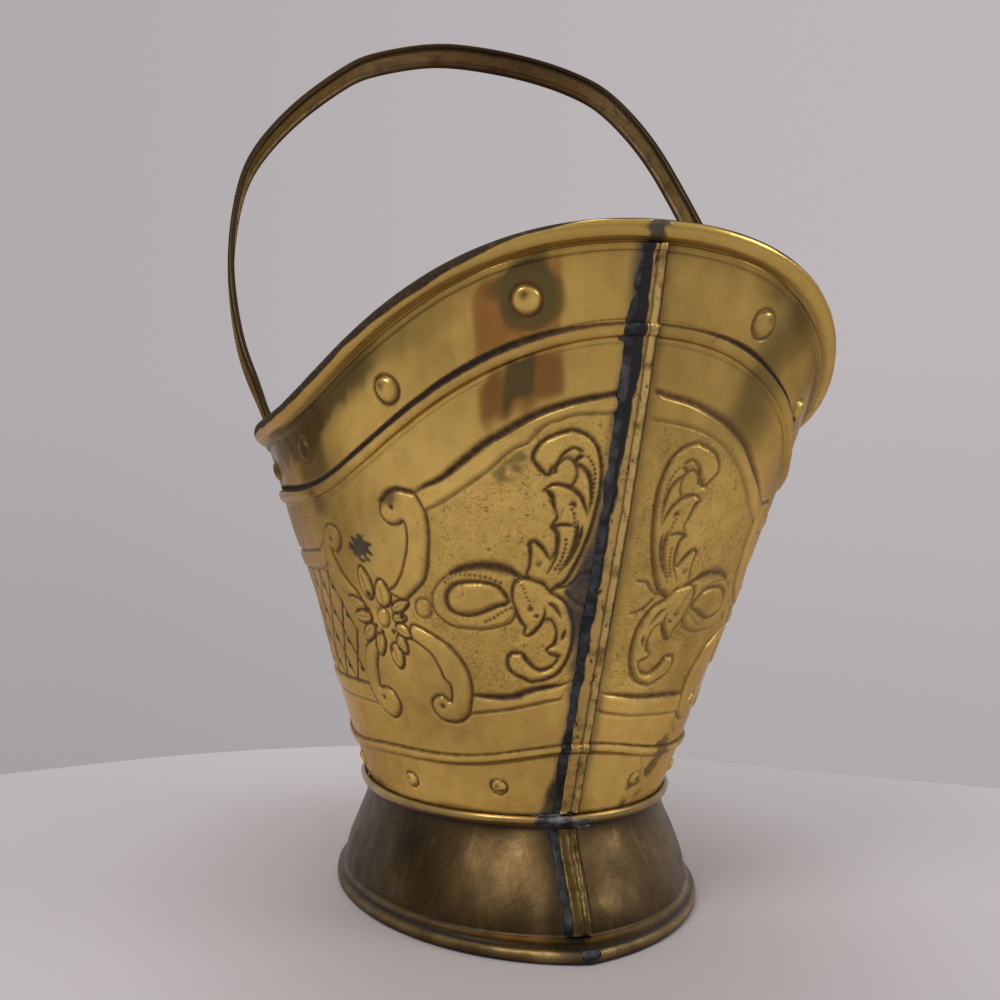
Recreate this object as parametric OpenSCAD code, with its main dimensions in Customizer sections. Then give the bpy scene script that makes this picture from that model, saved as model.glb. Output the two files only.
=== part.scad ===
// Coal scuttle: a boat-shaped stamped brass body on a flared oval foot, carried by a swinging bail.
// The body and the foot are each two mirror-image halves, joined by a folded and soldered seam at both lips.
// Millimetres. The origin is on the floor under the middle of the foot, +Z is up, and one lip faces -Y.

/* [Body] */
// Height of the rim at the two lips
lip_h = 286.6; // [280:0.2:294]
// Height of the rim at the two sides, where the bail turns
side_h = 230.8; // [226:0.2:234]
// Length from lip to lip at the rim
rim_len = 409; // [396:1:420]
// Width across the rim at the two sides
rim_w = 258; // [250:0.2:264]
// Length of the body where it stands on the foot
base_len = 197.2; // [190:0.2:204]
// Width of the body where it stands on the foot
base_w = 149; // [144:0.2:154]
// Outward bow of the two seam lines between the foot and the lips
bow = 5.4; // [2:0.2:8]
// Outward turn of the two sides towards the rim
side_flare = 7; // [4:0.5:10]
// Fullness of the plan where the body stands on the foot, where 2 is an ellipse
base_full = 1.97; // [1.9:0.01:2.2]
// Fullness of the plan at the height of the lips
lip_full = 2.37; // [2.1:0.01:2.5]
// Thickness of the stamped sheet
sheet = 1; // [0.8:0.1:1.2]
// Width of the flange turned in at the bottom of the body and at the top of the foot
flange_w = 6; // [4:0.5:9]

/* [Beads and rim] */
// Radius of the wire in the rolled rim
wire_r = 2; // [1.6:0.1:2.4]
// Height of the small bead under the rolled rim
under_bead_h = 3; // [2:0.2:4]
// How far the small bead under the rim stands out
under_bead_out = 1.4; // [0.8:0.1:2]
// Depth of the upper bead below the rim at the lips
upper_lip_drop = 36; // [30:0.2:42]
// Depth of the upper bead below the rim at the sides
upper_side_drop = 34.4; // [31:0.2:39]
// Width of the upper bead
upper_bead_h = 5; // [4:0.2:6]
// How far the upper bead stands out
upper_bead_out = 2.2; // [1.4:0.1:3]
// Height of the lower bead at the lips
lower_lip_z = 85.8; // [82:0.2:90]
// Height of the lower bead at the sides
lower_side_z = 73.8; // [70:0.2:78]
// Width of the lower bead
lower_bead_h = 4.6; // [4:0.2:6]
// How far the lower bead stands out
lower_bead_out = 1.9; // [1.4:0.1:3]

/* [Relief] */
// How far the straps that frame the panels stand out
strap_out = 1.3; // [0.8:0.1:1.8]
// How far the leaves, scrolls and flowers between them stand out
relief_out = 1.8; // [1:0.1:2.4]

/* [Foot] */
// Height of the foot
foot_h = 50.4; // [46:0.2:54]
// Length of the foot on the floor
foot_len = 258.4; // [250:0.4:266]
// Width of the foot on the floor
foot_w = 180; // [170:1:190]
// Pointedness of the foot on the floor, from 0 for an ellipse to 1 for two arcs
foot_point = 0.48; // [0.3:0.01:0.6]
// Height of the crease where the skirt turns out to the edge
crease_z = 8.6; // [8:0.2:10]
// Share of the foot's whole flare that lies above the crease
skirt_flare = 0.71; // [0.6:0.01:0.75]
// Width of the iron hoop in the rolled edge
hoop_w = 4; // [3:0.2:4.4]
// Height of the iron hoop
hoop_h = 3.2; // [2.6:0.1:3.3]
// Height of the collar ring that covers the joint of body and foot
collar_h = 5.6; // [5:0.2:7]
// How far the collar ring stands out
collar_out = 3.2; // [2:0.2:4]
// Thickness of the bottom plate
bottom_t = 1.4; // [1:0.1:2]

/* [Seams] */
// Width of the folded seam strip
strip_w = 9; // [7:0.5:11]
// Thickness of the folded seam strip
strip_t = 1.4; // [1:0.1:1.8]
// Width of the solder beside the strip
solder_w = 7; // [5:0.5:9]
// Thickness of the solder
solder_t = 0.8; // [0.5:0.1:1]

/* [Bail] */
// Depth of the bail's pivots below the rim at the sides
pivot_drop = 22.8; // [21:0.1:24.8]
// Reach of the bail from its pivots to the top of the grip
bail_reach = 284.8; // [276:0.2:294]
// How far each leg bulges from the middle
bail_spread = 146.4; // [144:0.2:149]
// Lean of the bail from upright, as it stands
lean = 20; // [0:0.1:22]
// Gap between the legs and the inside of the rim
rim_play = 2; // [1.6:0.1:2.6]
// Width of the bail strip
bail_w = 19; // [15:0.5:22]
// Depth of the bail strip over its folded edges
bail_d = 3.6; // [3.2:0.1:5]
// Thickness of the bail's sheet
bail_t = 1.4; // [1:0.1:1.6]
// Width of the bail strip where it narrows to its eyes
neck_w = 12; // [10:0.5:14]
// Radius of the eye at each end of the bail
eye_r = 7.5; // [6.8:0.1:8.2]
// Thickness of each eye
eye_t = 2.5; // [2:0.1:3]

/* [Pivots] */
// Radius of the pivot rivets
rivet_r = 3; // [2.6:0.1:3.6]
// Radius of the rivet heads
head_r = 5.6; // [5:0.1:7]
// Height of the rivet heads
head_h = 2.4; // [2:0.1:3]
// Radial clearance of each eye on its rivet
rivet_fit = 0.05; // [0.03:0.01:0.09]
// Width of the ears soldered inside the sides
ear_w = 18; // [16:0.5:22]
// How far each ear reaches below its pivot
ear_drop = 16; // [12:0.5:20]
// Thickness of the ears
ear_t = 1.8; // [1.4:0.1:2.4]
// Radius of the boss on each ear
boss_r = 6; // [5:0.1:7]
// Thickness of the washers
washer_t = 0.8; // [0.6:0.1:1.2]

/* [Hidden] */
seat = 0.12;            // clearance between seated pieces of the body
side_play = 0.15;       // end play of each eye between washer and rivet head
washer_r = boss_r + 0.3;
half_steps = 36;        // stations round half of the plan
body_z = foot_h + seat;
pivot_z = side_h - pivot_drop;
curl_in = wire_r + 0.15;
curl_out = curl_in + sheet;
curl_angles = [180:-61:-125];
collar_z = body_z + 1;
strip_top = collar_z - collar_h / 2 - 0.4;
hoop_inset = sheet + 0.2;

brass = [0.66, 0.51, 0.25];
dull_brass = [0.36, 0.28, 0.16];
solder_grey = [0.29, 0.29, 0.31];
dark_bronze = [0.27, 0.21, 0.14];
iron = [0.18, 0.17, 0.17];

function mix(a, b, f) = a + (b - a) * f;
function ease(f) = f * f * (3 - 2 * f);

// ---- Plan outlines ----
// A quarter of the plan: a superellipse of fullness n, blended by k with a pointed oval of two arcs.
// t runs from 0 at the lip to 90 at the side.
function quarter(a, b, n, k, t) =
    let (q = pow(pow(sin(t), n) + pow(cos(t), n), -1 / n), r = (a * a + b * b) / (2 * b),
        sweep = asin(a / r) * (1 - t / 90))
    [mix(b * sin(t) * q, b - r + r * cos(sweep), k), mix(a * cos(t) * q, r * sin(sweep), k)];

// The whole plan: t is 0 at the -Y lip, 90 at the +X side, -90 at the -X side and 180 at the +Y lip.
function plan(a, b, n, k, t) =
    let (s = t < -180 ? t + 360 : t > 180 ? t - 360 : t,
        q = quarter(a, b, n, k, abs(s) > 90 ? 180 - abs(s) : abs(s)))
    [s < 0 ? -q[0] : q[0], abs(s) > 90 ? q[1] : -q[1]];

// The same, moved outwards along its own normal
function plan_off(a, b, n, k, t, off) =
    let (d = plan(a, b, n, k, t + 0.5) - plan(a, b, n, k, t - 0.5), c = plan(a, b, n, k, t))
    c + off / norm(d) * [d[1], -d[0]];

function body_part(z) = (z - body_z) / (lip_h - body_z);
function half_len(z) = let (u = body_part(z)) mix(base_len, rim_len, u) / 2 + bow * 6.75 * u * u * (1 - u);
function half_wid(z) =
    let (v = (z - body_z) / (side_h - body_z)) mix(base_w, rim_w, v) / 2 + side_flare * v * v * (v - 1);
function fullness(z) = mix(base_full, lip_full, pow(max(0, body_part(z)), 0.6));

// A point of the body: station t, height z, and distance off outside the sheet
function body_xy(t, z, off) = plan_off(half_len(z), half_wid(z), fullness(z), 0, t, off);
function body_pt(t, z, off) = let (p = body_xy(t, z, off)) [p[0], p[1], z];

// A point of the foot: g is its share of the flare from the body's outline to the outline on the floor
function foot_xy(t, g, off) =
    plan_off(mix(base_len - sheet, foot_len, g) / 2, mix(base_w - sheet, foot_w, g) / 2,
        base_full, foot_point * g, t, off);
function foot_pt(t, g, z, off) = let (p = foot_xy(t, g, off)) [p[0], p[1], z];
function skirt(z) = skirt_flare * ease((foot_h - z) / (foot_h - crease_z));

// ---- Places of the pivots, from the wall inwards ----
ear_turn = ear_w / 2 / abs(body_xy(89, pivot_z, 0)[1]);
function ear_back(z) = body_xy(90 - ear_turn, z, -sheet - seat)[0];
ear_x = ear_back(pivot_z);
ear_tilt = atan(ear_back(pivot_z + 0.5) - ear_back(pivot_z - 0.5));
ear_step = (boss_r + 0.8) * tan(ear_tilt);
boss_x = ear_x - ear_t / cos(ear_tilt) - ear_step;
eye_x = boss_x - seat - washer_t - side_play - eye_t / 2;
head_x = eye_x - eye_t / 2 - side_play;
rim_x = half_wid(side_h) - sheet - rim_play - bail_d / 2;
rim_reach = (side_h - pivot_z) / cos(lean);

// ---- Heights that follow the sheer of the rim ----
// From the side to the lip, with its own fullness and sag as shares of that rise
function sheer(t, side, lip, full, sag) =
    mix(side, lip, (1 + cos(2 * t)) / 2 + full * (cos(2 * t) - cos(6 * t)) + sag * (1 - cos(4 * t)));
function rim_z(t) = sheer(t, side_h, lip_h, 0.0412, -0.0699);
function upper_z(t) = sheer(t, side_h - upper_side_drop, lip_h - upper_lip_drop, 0.0406, -0.1162);
function lower_z(t) = sheer(t, lower_side_z, lower_lip_z, -0.125, -0.05);
function curl_z(t) = rim_z(t) - curl_out;

// ---- Sections as [height, outward distance] ----
function bead(z, h, out) = [for (a = [-90:45:90]) [z + h / 2 * sin(a), out * cos(a)]];
function curl(t, r) = [for (a = curl_angles) [curl_z(t) + r * sin(a), curl_in + r * cos(a)]];
function reversed(v) = [for (i = [len(v) - 1:-1:0]) v[i]];
function under_z(t) = curl_z(t) - curl_out - under_bead_h * 0.75;

// ---- Stamped relief between the beads ----
// A place on the wall is a number of degrees from the nearest seam and a share of the way from the lower bead
// to the upper one. Each form has its place, how far it reaches both ways, and its share of the relief.
strap_half = 0.035;
low_strap = [0.16, 0.245];      // share of the way up at the seams and at the sides
top_strap = [0.845, 0.745];
low_strap_gap = [31, 58];       // the scrolls interrupt both straps between these degrees
top_strap_gap = [40, 62];
seam_fade = [5, 15];            // the relief grows from nothing to its full height between these degrees
forms = [
    [11, 0.64, 8, 0.2, 1],      // acanthus leaf
    [13, 0.31, 9, 0.15, 0.95],  // scroll under it
    [28, 0.46, 11, 0.13, 1],    // eye-shaped loop
    [39, 0.7, 7, 0.2, 0.9],     // C-scrolls above and below it
    [36, 0.27, 8, 0.17, 0.85],
    [51, 0.5, 9, 0.17, 1.2],    // flower
    [64, 0.74, 7, 0.16, 0.85],  // C-scrolls at the side panel
    [58, 0.29, 7, 0.17, 0.85]];

function from_seam(t) = abs(t) > 90 ? 180 - abs(t) : abs(t);
function strap_at(ends, t) = mix(ends[1], ends[0], (1 + cos(2 * t)) / 2);
function fade(t) = max(0, min(1, (from_seam(t) - seam_fade[0]) / (seam_fade[1] - seam_fade[0])));
function relief(t, f) = fade(t) * relief_out * max([for (m = forms)
    m[4] * ease(max(0, 1 - norm([(from_seam(t) - m[0]) / m[2], (f - m[1]) / m[3]])))]);
function strap_rows(ends, gap, t) =
    let (d = from_seam(t), f = strap_at(ends, t))
    [[f - strap_half, relief(t, f - strap_half)],
        [f, d > gap[0] && d < gap[1] ? relief(t, f) : fade(t) * strap_out],
        [f + strap_half, relief(t, f + strap_half)]];
function panel_rows(t) = concat(
    strap_rows(low_strap, low_strap_gap, t),
    [for (f = [0.34, 0.42, 0.5, 0.59, 0.67]) [f, relief(t, f)]],
    strap_rows(top_strap, top_strap_gap, t));

// Outer face of the wall, from above the collar ring to under the rolled rim
function wall_rows(t) = concat(
    bead(lower_z(t), lower_bead_h, lower_bead_out),
    [for (p = panel_rows(t)) [mix(lower_z(t), upper_z(t), p[0]), p[1]]],
    bead(upper_z(t), upper_bead_h, upper_bead_out),
    [[mix(upper_z(t), under_z(t), 0.5), 0]],
    bead(under_z(t), under_bead_h, under_bead_out));

function body_section(t) = concat(
    [[body_z, -flange_w], [body_z, 0]],
    wall_rows(t),
    curl(t, curl_in),
    reversed(curl(t, curl_out)),
    [for (z = [under_z(t), upper_z(t), mix(lower_z(t), upper_z(t), 0.5), lower_z(t), body_z + sheet])
        [z, -sheet]],
    [[body_z + sheet, -flange_w]]);

// The foot as [height, share of the flare, outward distance]: its outer face down to the lower edge of the
// roll, and its inner face back up
skirt_steps = [(foot_h - strip_top) / (foot_h - crease_z), each [1/6:1/6:0.9]];
foot_outer = concat(
    [for (f = concat([0], skirt_steps, [1])) let (z = mix(foot_h, crease_z, f)) [z, skirt(z), 0]],
    [[7.3, 0.79, 0], [6.5, 0.87, 0], [5.7, 1, -2.1], [4.8, 1, -0.8],
        [3.3, 1, 0], [1.6, 1, -0.05], [0.35, 1, -0.1]]);
foot_inner = concat(
    [[0.35, 1, -0.1], [3.3, 1, 0], [4.4, 1, -0.8], [5, 1, -2.1], [5.9, 0.87, 0], [6.9, 0.79, 0]],
    [for (f = [1:-1/3:0.3]) let (z = mix(foot_h, crease_z, f)) [z, skirt(z), 0]]);

// ---- Lofting ----
// Rings of points of one length, joined in turn, with flat ends unless the rings close on themselves
module skin(rings, closed = false) {
    n = len(rings);
    m = len(rings[0]);
    sides = [for (i = [0:n - (closed ? 1 : 2)], j = [0:m - 1])
        let (k = (j + 1) % m, a = i * m, b = (i + 1) % n * m)
        each [[a + j, a + k, b + k], [a + j, b + k, b + j]]];
    ends = closed ? [] : [[for (j = [m - 1:-1:0]) j], [for (j = [0:m - 1]) (n - 1) * m + j]];
    polyhedron([for (r = rings) each r], concat(sides, ends), convexity = 8);
}

function stations(from, to) = [for (i = [0:half_steps]) mix(from, to, i / half_steps)];
all_round = [for (i = [0:2 * half_steps - 1]) -180 + i * 180 / half_steps];

// One half of the body, on the side that the sign names
module body_half(sign) {
    translate([sign * seat / 2, 0, 0])
        skin([for (t = sign > 0 ? stations(0, 180) : stations(-180, 0))
            [for (p = body_section(t)) body_pt(t, p[0], p[1])]]);
}

module body_left() { color(brass) body_half(-1); }
module body_right() { color(brass) body_half(1); }

// The iron wire inside the rolled rim
module rim_wire() {
    color(iron)
        skin([for (t = all_round) [for (p = reversed(curl(t, wire_r))) body_pt(t, p[0], p[1])]],
            closed = true);
}

// ---- Seams ----
// A strip laid on a seam, in rings that climb it. place(t, k, off) gives a point of row k, and width(k) the
// distance across for one degree of t.
module seam_patch(count, xs, thick, place, width) {
    skin([for (k = [0:count - 1]) concat(
        [for (i = [0:len(xs) - 1]) place(xs[i] / width(k), k, seat)],
        [for (i = [len(xs) - 1:-1:0]) place(xs[i] / width(k), k, seat + thick[i])])]);
}

// A point between two stations of the body, so that what lies on the sheet follows its rows and its facets
function between(t, at) =
    let (d = 180 / half_steps, j = floor(t / d)) mix(at(j * d), at((j + 1) * d), t / d - j);
body_rows = function (t) concat([[collar_z + collar_h / 2 + 0.4, 0]], wall_rows(t));
foot_rows = [for (f = concat([0.98], reversed(skirt_steps))) mix(foot_h, crease_z, f)];
on_body = function (t, k, off)
    between(t, function (s) let (p = body_rows(s)[k]) body_pt(s, p[0], p[1] + off));
on_foot = function (t, k, off) foot_pt(t, skirt(foot_rows[k]), foot_rows[k], off);
body_width = function (k) let (p = body_rows(0)[k]) body_xy(1, p[0], p[1])[0];
foot_width = function (k) foot_xy(1, skirt(foot_rows[k]), 0)[0];
strip_xs = [-strip_w / 2, 0, strip_w / 2];
strip_thick = [strip_t, strip_t, strip_t];
solder_xs = [for (f = [1:-0.25:0]) -strip_w / 2 - seat - f * solder_w];
solder_thick = [for (f = [0.5, 0.8, 1, 1, 1]) f * solder_t];

module body_seam(xs, thick) { seam_patch(len(body_rows(0)), xs, thick, on_body, body_width); }
module foot_seam(xs, thick) { seam_patch(len(foot_rows), xs, thick, on_foot, foot_width); }
module body_strip() { body_seam(strip_xs, strip_thick); }
module body_solder() { body_seam(solder_xs, solder_thick); }
module foot_strip() { foot_seam(strip_xs, strip_thick); }
module foot_solder() { foot_seam(solder_xs, solder_thick); }
module at_back() { rotate([0, 0, 180]) children(); }

module front_seam_strip() { color(brass) body_strip(); }
module back_seam_strip() { color(brass) at_back() body_strip(); }
module front_seam_solder() { color(solder_grey) body_solder(); }
module back_seam_solder() { color(solder_grey) at_back() body_solder(); }
module foot_front_strip() { color(dull_brass) foot_strip(); }
module foot_back_strip() { color(dull_brass) at_back() foot_strip(); }
module foot_front_solder() { color(solder_grey) foot_solder(); }
module foot_back_solder() { color(solder_grey) at_back() foot_solder(); }

// ---- Bottom and foot ----
// The plate that closes the body, laid on its turned-in flange
module bottom_plate() {
    z = body_z + sheet;
    color(brass) translate([0, 0, z + seat]) linear_extrude(bottom_t)
        polygon([for (t = all_round) body_xy(t, z, -sheet - seat)]);
}

// The half-round ring soldered over the joint of body and foot
module collar_ring() {
    color(brass)
        skin([for (t = all_round) [for (a = [-90:36:90])
            let (z = collar_z + collar_h / 2 * sin(a),
                p = body_xy(t, max(z, body_z), seat + collar_out * cos(a)))
            [p[0], p[1], z]]], closed = true);
}

function foot_section(t) = concat(
    [for (p = foot_outer) foot_pt(t, p[1], p[0], p[2])],
    [for (p = foot_inner) foot_pt(t, p[1], p[0], p[2] - sheet)],
    [for (off = [-sheet, -flange_w]) foot_pt(t, 0, foot_h - sheet, off)],
    [foot_pt(t, 0, foot_h, -flange_w)]);

module foot_half(sign) {
    translate([sign * seat / 2, 0, 0])
        skin([for (t = sign > 0 ? stations(180, 0) : stations(0, -180)) foot_section(t)]);
}

module foot_left() { color(dull_brass) foot_half(-1); }
module foot_right() { color(dull_brass) foot_half(1); }

// The iron hoop inside the rolled edge, on which the scuttle stands
module hoop_outline(off) { polygon([for (t = all_round) foot_xy(t, 1, -hoop_inset - off)]); }
module foot_hoop() {
    color(iron) linear_extrude(hoop_h) difference() {
        hoop_outline(0);
        hoop_outline(hoop_w);
    }
}

// ---- Ears, washers and rivets, made for the +X side and mirrored ----
module both(sign) { mirror([sign > 0 ? 0 : 1, 0, 0]) children(); }
module along_x(x) { translate([x, 0, pivot_z]) rotate([0, -90, 0]) children(); }

// Inwards from the sloping back of the ear
module on_ear(depth) {
    translate([ear_x, 0, pivot_z]) rotate([0, ear_tilt, 0]) rotate([0, -90, 0])
        linear_extrude(depth) children();
}

module ear() {
    difference() {
        union() {
            on_ear(ear_t) translate([-ear_drop, -ear_w / 2]) square([ear_drop + boss_r, ear_w]);
            intersection() {
                on_ear(2 * boss_r) square(4 * boss_r, center = true);
                along_x(ear_x + 2 * ear_step)
                    cylinder(r = boss_r, h = ear_x + 2 * ear_step - boss_x, $fn = 48);
            }
        }
        along_x(ear_x + ear_t) cylinder(r = rivet_r + rivet_fit, h = ear_x + 2 * ear_t - boss_x, $fn = 48);
    }
}

module washer() {
    along_x(boss_x - seat) difference() {
        cylinder(r = washer_r, h = washer_t, $fn = 48);
        translate([0, 0, -1]) cylinder(r = rivet_r + rivet_fit, h = washer_t + 2, $fn = 48);
    }
}

module pivot() {
    shank = ear_x - rivet_r * tan(ear_tilt) - seat - head_x;
    along_x(head_x + shank) rotate_extrude($fn = 48)
        polygon([[0, 0], [rivet_r, 0], [rivet_r, shank], [head_r, shank], [head_r, shank + head_h / 3],
            [head_r * 0.85, shank + head_h * 0.7], [head_r * 0.5, shank + head_h * 0.95],
            [0, shank + head_h]]);
}

module left_ear() { color(brass) both(-1) ear(); }
module right_ear() { color(brass) both(1) ear(); }
module left_washer() { color(brass) both(-1) washer(); }
module right_washer() { color(brass) both(1) washer(); }
module left_pivot() { color(iron) both(-1) pivot(); }
module right_pivot() { color(iron) both(1) pivot(); }

// ---- Bail ----
// Its outline is hand-bent, so the legs differ: shares of the spread and of the reach, from above the rim up
left_leg = [[0.97, 0.281], [1, 0.421], [0.974, 0.562], [0.922, 0.667], [0.791, 0.772], [0.675, 0.843],
    [0.534, 0.913], [0.437, 0.948], [0.2, 0.992]];
right_leg = [[0.972, 0.281], [1, 0.38], [0.963, 0.49], [0.905, 0.58], [0.827, 0.702], [0.769, 0.772],
    [0.693, 0.843], [0.585, 0.913], [0.478, 0.948], [0.279, 0.983]];
over_rim = [[0, 0], [0.0287, 0.0365], [0.0533, 0.0765], [0.0881, 0.1257]];
function on_leg(p) = [p[0] * bail_spread, p[1] * bail_reach];
function leg(side) = concat([[eye_x, eye_r], [eye_x + 0.08 * eye_r, 1.47 * eye_r]],
    [for (p = over_rim) [rim_x, rim_reach] + on_leg(p)], [for (p = side) on_leg(p)]);
bail_points = concat([for (p = leg(left_leg)) [-p[0], p[1]]], [[0, bail_reach]], reversed(leg(right_leg)));

// A smooth curve through points, three steps to each stretch
function blend(p, i, f) =
    let (n = len(p) - 1, a = p[max(i - 1, 0)], b = p[i], c = p[min(i + 1, n)], d = p[min(i + 2, n)])
    0.5 * (2 * b + (c - a) * f + (2 * a - 5 * b + 4 * c - d) * f * f + (3 * b - a - 3 * c + d) * f * f * f);
bail_line = concat([for (i = [0:len(bail_points) - 2], f = [0, 1 / 3, 2 / 3]) blend(bail_points, i, f)],
    [bail_points[len(bail_points) - 1]]);
neck_reach = rim_reach + neck_w / 2;
wide_reach = rim_reach + neck_w * 2.5;

// The line moved outwards by off, over the part that lies beyond a reach
function bail_offset(off, from) = let (n = len(bail_line) - 1)
    [for (i = [0:n]) let (d = bail_line[min(i + 1, n)] - bail_line[max(i - 1, 0)])
        if (bail_line[i][1] >= from) bail_line[i] + off / norm(d) * [-d[1], d[0]]];

// A band along the line, from one offset to another and w wide, whose ends slope over the ramp
module bail_band(inner, outer, from, ramp, w) {
    rotate([90, 0, 0]) linear_extrude(w, center = true)
        polygon(concat(bail_offset(inner, from), reversed(bail_offset(outer, from + ramp))));
}

// The strip with its edges folded in, narrowed and closed up at its ends
module bail_strip() {
    side_outline = concat([[neck_w / 2, 0]],
        [for (f = [0:0.25:1]) [mix(neck_w, bail_w, ease(f)) / 2, mix(neck_reach, wide_reach, f)]],
        [[bail_w / 2, bail_reach + bail_w / 2]]);
    difference() {
        intersection() {
            bail_band(-bail_d / 2, bail_d / 2, 0, 0, bail_w * 1.1);
            rotate([90, 0, 90]) linear_extrude(2.4 * bail_spread, center = true)
                polygon(concat(side_outline, [for (p = reversed(side_outline)) [-p[0], p[1]]]));
        }
        bail_band(-bail_d, bail_d / 2 - bail_t, wide_reach - neck_w / 4, neck_w / 2, bail_w - 2 * bail_t);
    }
}

module bail_eye(sign) {
    translate([sign * eye_x, 0, 0]) rotate([0, -90, 0]) linear_extrude(eye_t, center = true) {
        circle(r = eye_r, $fn = 48);
        translate([0, -neck_w * 5 / 12]) square([eye_r * 1.6, neck_w * 5 / 6]);
    }
}

module handle() {
    color(dark_bronze) translate([0, 0, pivot_z]) rotate([-lean, 0, 0]) difference() {
        union() {
            bail_strip();
            bail_eye(-1);
            bail_eye(1);
        }
        for (sign = [-1, 1])
            translate([sign * eye_x - eye_t, 0, 0]) rotate([0, 90, 0])
                cylinder(r = rivet_r + rivet_fit, h = 2 * eye_t, $fn = 48);
    }
}

body_left();
body_right();
rim_wire();
front_seam_strip();
back_seam_strip();
front_seam_solder();
back_seam_solder();
bottom_plate();
collar_ring();
foot_left();
foot_right();
foot_hoop();
foot_front_strip();
foot_back_strip();
foot_front_solder();
foot_back_solder();
left_ear();
right_ear();
left_washer();
right_washer();
left_pivot();
right_pivot();
handle();
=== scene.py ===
import math

import bpy
import numpy as np
from mathutils import Matrix, Vector


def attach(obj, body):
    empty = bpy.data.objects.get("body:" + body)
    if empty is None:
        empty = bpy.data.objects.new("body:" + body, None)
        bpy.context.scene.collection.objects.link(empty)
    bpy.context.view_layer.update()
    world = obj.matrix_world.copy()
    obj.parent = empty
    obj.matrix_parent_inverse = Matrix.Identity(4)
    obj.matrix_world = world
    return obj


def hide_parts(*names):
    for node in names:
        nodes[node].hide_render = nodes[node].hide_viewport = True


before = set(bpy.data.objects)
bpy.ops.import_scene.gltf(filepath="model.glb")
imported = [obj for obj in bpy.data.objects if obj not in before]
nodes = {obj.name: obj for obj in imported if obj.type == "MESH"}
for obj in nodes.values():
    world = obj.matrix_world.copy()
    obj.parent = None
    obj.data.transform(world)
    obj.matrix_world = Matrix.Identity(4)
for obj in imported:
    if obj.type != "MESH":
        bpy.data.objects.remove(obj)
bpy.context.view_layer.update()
rng = np.random.default_rng(11)

# ---- The part's own sizes, in millimetres ----
# Body: rim height at the lips and sides, its plan at the rim and the base, the bow and fullness of its sides
LIP, SIDE = 286.6, 230.8
RIM_LEN, RIM_W, BASE_LEN, BASE_W = 409, 258, 197.2, 149
BOW, FLARE, BASE_FULL, LIP_FULL = 5.4, 7, 1.97, 2.37
SHEET, FLANGE = 1.0, 6.0
# Foot: its height, the play under the body, its plan, how pointed it is, and its share of flare at the crease
FOOT_H, SEAT, FOOT_LEN, FOOT_W, POINT, CREASE, SKIRT = 50.4, 0.12, 258.4, 180, 0.48, 8.6, 0.71
BODY_Z = FOOT_H + SEAT
# Beads: height and how far they stand out
LOWER_BEAD, UPPER_BEAD, RIM_BEAD, COLLAR = (4.6, 1.9), (5.0, 2.2), (3.0, 1.4), (5.6, 3.2)
COLLAR_Z = BODY_Z + 1
CURL_IN = 2.15
CURL_OUT = CURL_IN + SHEET
# Bail: pivots, the crossing of the rim, lean from upright, and reach across and up
PIVOT_Z = SIDE - 22.8
EYE_X, RIM_X, RIM_REACH, LEAN = 113.84, 124.2, 24.2633, math.radians(20)
SPREAD, REACH = 146.4, 284.8
BEHIND = np.array([-1, -1, 1])


# ---- Curves over numbers and arrays ----
def ease(f):
    f = np.clip(f, 0, 1)
    return f * f * (3 - 2 * f)


def hill(v, top, width):
    return np.exp(-(((v - top) / width) ** 2))


def past(v, edge, soft):
    """Rises from 0 to 1 where v passes an edge."""
    return 1 / (1 + np.exp((edge - v) / soft))


def short_of(v, edge, soft):
    return 1 / (1 + np.exp((v - edge) / soft))


def between(v, low, high, soft):
    return past(v, low, soft) * short_of(v, high, soft)


# ---- Surfaces of the part ----
def plan(a, b, n, k, t):
    """The outline of the plan: t is 0 at the -Y lip, 90 at +X, and k blends a superellipse with a pointed oval."""
    s = (np.asarray(t, float) + 180) % 360 - 180
    m = np.abs(s)
    fold = np.where(m > 90, 180 - m, m)
    sn, cs = np.sin(np.radians(fold)), np.maximum(np.cos(np.radians(fold)), 0)
    q = (sn**n + cs**n) ** (-1 / n)
    r = (a * a + b * b) / (2 * b)
    sweep = np.arcsin(a / r) * (1 - fold / 90)
    x = b * sn * q * (1 - k) + (b - r + r * np.cos(sweep)) * k
    y = a * cs * q * (1 - k) + r * np.sin(sweep) * k
    return np.where(s < 0, -x, x), np.where(m > 90, y, -y)


def plan_off(a, b, n, k, t, off):
    x0, y0 = plan(a, b, n, k, t - 0.5)
    x1, y1 = plan(a, b, n, k, t + 0.5)
    x, y = plan(a, b, n, k, t)
    dx, dy = x1 - x0, y1 - y0
    g = off / np.hypot(dx, dy)
    return x + g * dy, y - g * dx


def body_at(t, z, off):
    """Points of the body: station t in degrees, height z, and distance off outside the wall."""
    t, z, off = np.broadcast_arrays(*(np.asarray(v, float) for v in (t, z, off)))
    u, v = (z - BODY_Z) / (LIP - BODY_Z), (z - BODY_Z) / (SIDE - BODY_Z)
    a = (BASE_LEN + (RIM_LEN - BASE_LEN) * u) / 2 + BOW * 6.75 * u * u * (1 - u)
    b = (BASE_W + (RIM_W - BASE_W) * v) / 2 + FLARE * v * v * (v - 1)
    n = BASE_FULL + (LIP_FULL - BASE_FULL) * np.maximum(u, 0) ** 0.6
    x, y = plan_off(a, b, n, 0.0, t, off)
    return np.stack([x, y, z], -1)


def foot_at(t, g, z, off):
    """Points of the foot, where g is the share of its flare."""
    t, g, z, off = np.broadcast_arrays(*(np.asarray(v, float) for v in (t, g, z, off)))
    a = ((BASE_LEN - SHEET) * (1 - g) + FOOT_LEN * g) / 2
    b = ((BASE_W - SHEET) * (1 - g) + FOOT_W * g) / 2
    x, y = plan_off(a, b, BASE_FULL, POINT * g, t, off)
    return np.stack([x, y, z], -1)


def skirt(z):
    return SKIRT * ease((FOOT_H - z) / (FOOT_H - CREASE))


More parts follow.
